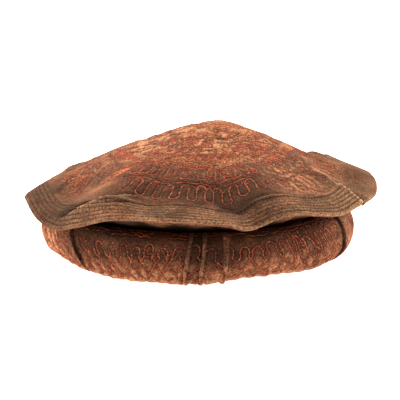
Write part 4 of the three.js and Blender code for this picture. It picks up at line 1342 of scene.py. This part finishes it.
# %% A tree that scatters fibres
def nap_tree(name):
    """Scatters bent fibres over the outer faces of a cloth."""
    tree = bpy.data.node_groups.new(name, "GeometryNodeTree")
    given = named_inputs(tree, (("Density", 60000.0), ("Fibre length", 0.0022), ("Fibre radius", 0.00005)), "Fibre")
    outside = node(tree, "GeometryNodeInputNamedAttribute", {"data_type": "FLOAT"}, Name="outside")
    density = node(tree, "ShaderNodeMath", {"operation": "MULTIPLY"}, _0=outside, _1=(given, "Density"))
    roots = node(tree, "GeometryNodeDistributePointsOnFaces", Mesh=(given, "Geometry"), Density=density,
                 Seed=(given, "Seed"))
    bend = node(tree, "GeometryNodeCurveQuadraticBezier", Resolution=2, Start=(0, 0, 0), Middle=(0.1, 0, 0.55),
                End=(0.7, 0.15, 0.62))
    length = node(tree, "ShaderNodeCombineXYZ", X=(given, "Fibre length"), Y=(given, "Fibre length"),
                  Z=(given, "Fibre length"))
    fibre = node(tree, "GeometryNodeTransform", Geometry=bend, Scale=length)
    section = node(tree, "GeometryNodeCurvePrimitiveCircle", Resolution=3, Radius=(given, "Fibre radius"))
    strand = node(tree, "GeometryNodeCurveToMesh", Curve=fibre, Profile_Curve=section)
    turn = node(tree, "FunctionNodeRandomValue", {"data_type": "FLOAT_VECTOR"}, Seed=(given, "Seed"),
                _0=(-0.5, -0.5, -3.14), _1=(0.5, 0.5, 3.14))
    turned = node(tree, "FunctionNodeEulerToRotation", Euler=(turn, 0))
    stood = node(tree, "FunctionNodeRotateRotation", {"rotation_space": "LOCAL"}, Rotation=(roots, "Rotation"),
                 Rotate_By=turned)
    spread = node(tree, "FunctionNodeRandomValue", {"data_type": "FLOAT"}, Seed=5, _2=0.35, _3=1.5)
    fibres = node(tree, "GeometryNodeInstanceOnPoints", Points=roots, Instance=strand, Rotation=stood,
                  Scale=(spread, 1))
    shade = node(tree, "FunctionNodeRandomValue", {"data_type": "FLOAT"}, Seed=8)
    shaded = node(tree, "GeometryNodeStoreNamedAttribute", {"data_type": "FLOAT", "domain": "INSTANCE"},
                  Geometry=fibres, Name="tone", Value=(shade, 1))
    real = node(tree, "GeometryNodeRealizeInstances", Geometry=shaded)
    done = node(tree, "GeometryNodeSetMaterial", Geometry=real, Material=(given, "Fibre"))
    node(tree, "NodeGroupOutput", Geometry=done)
    return tree


NAP_TREE = nap_tree("nap fibres")
NAP_FIBRE = thread("loose wool fibres of the nap", ["#4a3527", "#7a5440", "#8d5a44", "#9c7056", "#b3916f"])
crown_nap = run_tree(placed("crown_nap", crown.data.copy()), NAP_TREE, Density=62000.0, Fibre_length=0.0026,
                     Fibre_radius=0.00008, Seed=21, Fibre=NAP_FIBRE)
band_nap = run_tree(placed("band_nap", roll.data.copy()), NAP_TREE, Density=66000.0, Fibre_length=0.0024,
                    Fibre_radius=0.00008, Seed=22, Fibre=NAP_FIBRE)

# %% Attach each piece to the root body, and hide each solid that a cloth piece replaces
crown_trim = embroidery + [brim_stitches, crown_nap]
for piece in crown_trim:
    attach(piece, "root")
for piece in (band_embroidery, band_nap):
    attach(piece, "root")
for piece, stands_for, finish in ((crown, "crown", "crown_wool"), (wall, "side_wall", "wall_wool"),
                                  (roll, "rolled_band", "band_wool")):
    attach(piece, "root")
    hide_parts(stands_for)

# %% [markdown]
# ## Floor, light and camera
#
# The hat stands on white in a light tent: broad soft light from both sides, the back and the top, and little from
# the front. The table is a translucent white panel that glows a little, so its shadows are faint and it lights
# the roll from below.

# %% Floor
def floor_disc(radius):
    """A round light table, which belongs to the stage and not to the hat."""
    turn = np.linspace(0, 2 * math.pi, 64, endpoint=False)
    mesh = bpy.data.meshes.new("floor")
    mesh.from_pydata([(radius * math.cos(a), radius * math.sin(a), 0.0) for a in turn], [], [list(range(64))])
    material, tree = new_material("white light table")
    panel = node(tree, "ShaderNodeBsdfPrincipled", Base_Color=linear("#f4f4f4"), Roughness=0.8,
                 Emission_Color=linear("#ffffff"), Emission_Strength=1.05)
    node(tree, "ShaderNodeOutputMaterial", Surface=panel)
    mesh.materials.append(material)
    placed("floor", mesh)


floor_disc(6.0)

# %% Lamps
MIDDLE = Vector((0, 0, 0.05))       # the point of the hat that the lamps face


def soft_lamp(name, place, size, watts, colour="#ffffff"):
    """A square soft box that faces the hat."""
    data = bpy.data.lights.new(name, "AREA")
    data.shape, data.size, data.energy = "SQUARE", size, watts
    data.color = linear(colour)[:3]
    lamp = placed(name, data)
    lamp.location = place
    lamp.rotation_euler = (MIDDLE - Vector(place)).to_track_quat("-Z", "Y").to_euler()


soft_lamp("left side", (-1.1, 0.12, 0.62), 0.8, 22, "#fff4e8")
soft_lamp("right side", (1.1, 0.12, 0.62), 0.8, 16, "#fff4e8")
soft_lamp("top", (0.0, 0.50, 1.15), 0.9, 17, "#fff8f0")

# %% World, white behind the hat and dimmer in front of it
world = bpy.data.worlds.new("light tent")
world.use_nodes = True
world.node_tree.nodes.clear()
sky = world.node_tree
direction = node(sky, "ShaderNodeTexCoord")
parts = node(sky, "ShaderNodeSeparateXYZ", Vector=(direction, "Generated"))
strength = node(sky, "ShaderNodeMapRange", {"interpolation_type": "SMOOTHSTEP"}, Value=(parts, "Y"), From_Min=-0.6,
                From_Max=0.35, To_Min=0.04, To_Max=1.05)
tent = node(sky, "ShaderNodeBackground", Color=linear("#ffffff"), Strength=strength)
node(sky, "ShaderNodeOutputWorld", Surface=tent)
bpy.context.scene.world = world
bpy.context.scene.view_settings.view_transform = "Standard"

# %% Camera
DISTANCE, ELEVATION, AIM_HEIGHT = 1.300, math.radians(12), 0.040
SENSOR = 36.0           # mm
PICTURE = 400           # pixels across
PIXEL = 0.0008          # metres across one pixel at the hat
camera = placed("camera", bpy.data.cameras.new("camera"))
camera.data.sensor_width = SENSOR
camera.data.lens = DISTANCE / PIXEL / PICTURE * SENSOR
camera.data.shift_x = -0.5 / PICTURE
back = Vector((0, -math.cos(ELEVATION), math.sin(ELEVATION)))
camera.location = Vector((0, 0, AIM_HEIGHT)) + back * DISTANCE
camera.rotation_euler = back.to_track_quat("Z", "Y").to_euler()
bpy.context.scene.camera = camera

# %% A box as plain lists of numbers
def corners(box):
    """A box as plain lists of numbers."""
    return [[float(v) for v in corner] for corner in box]
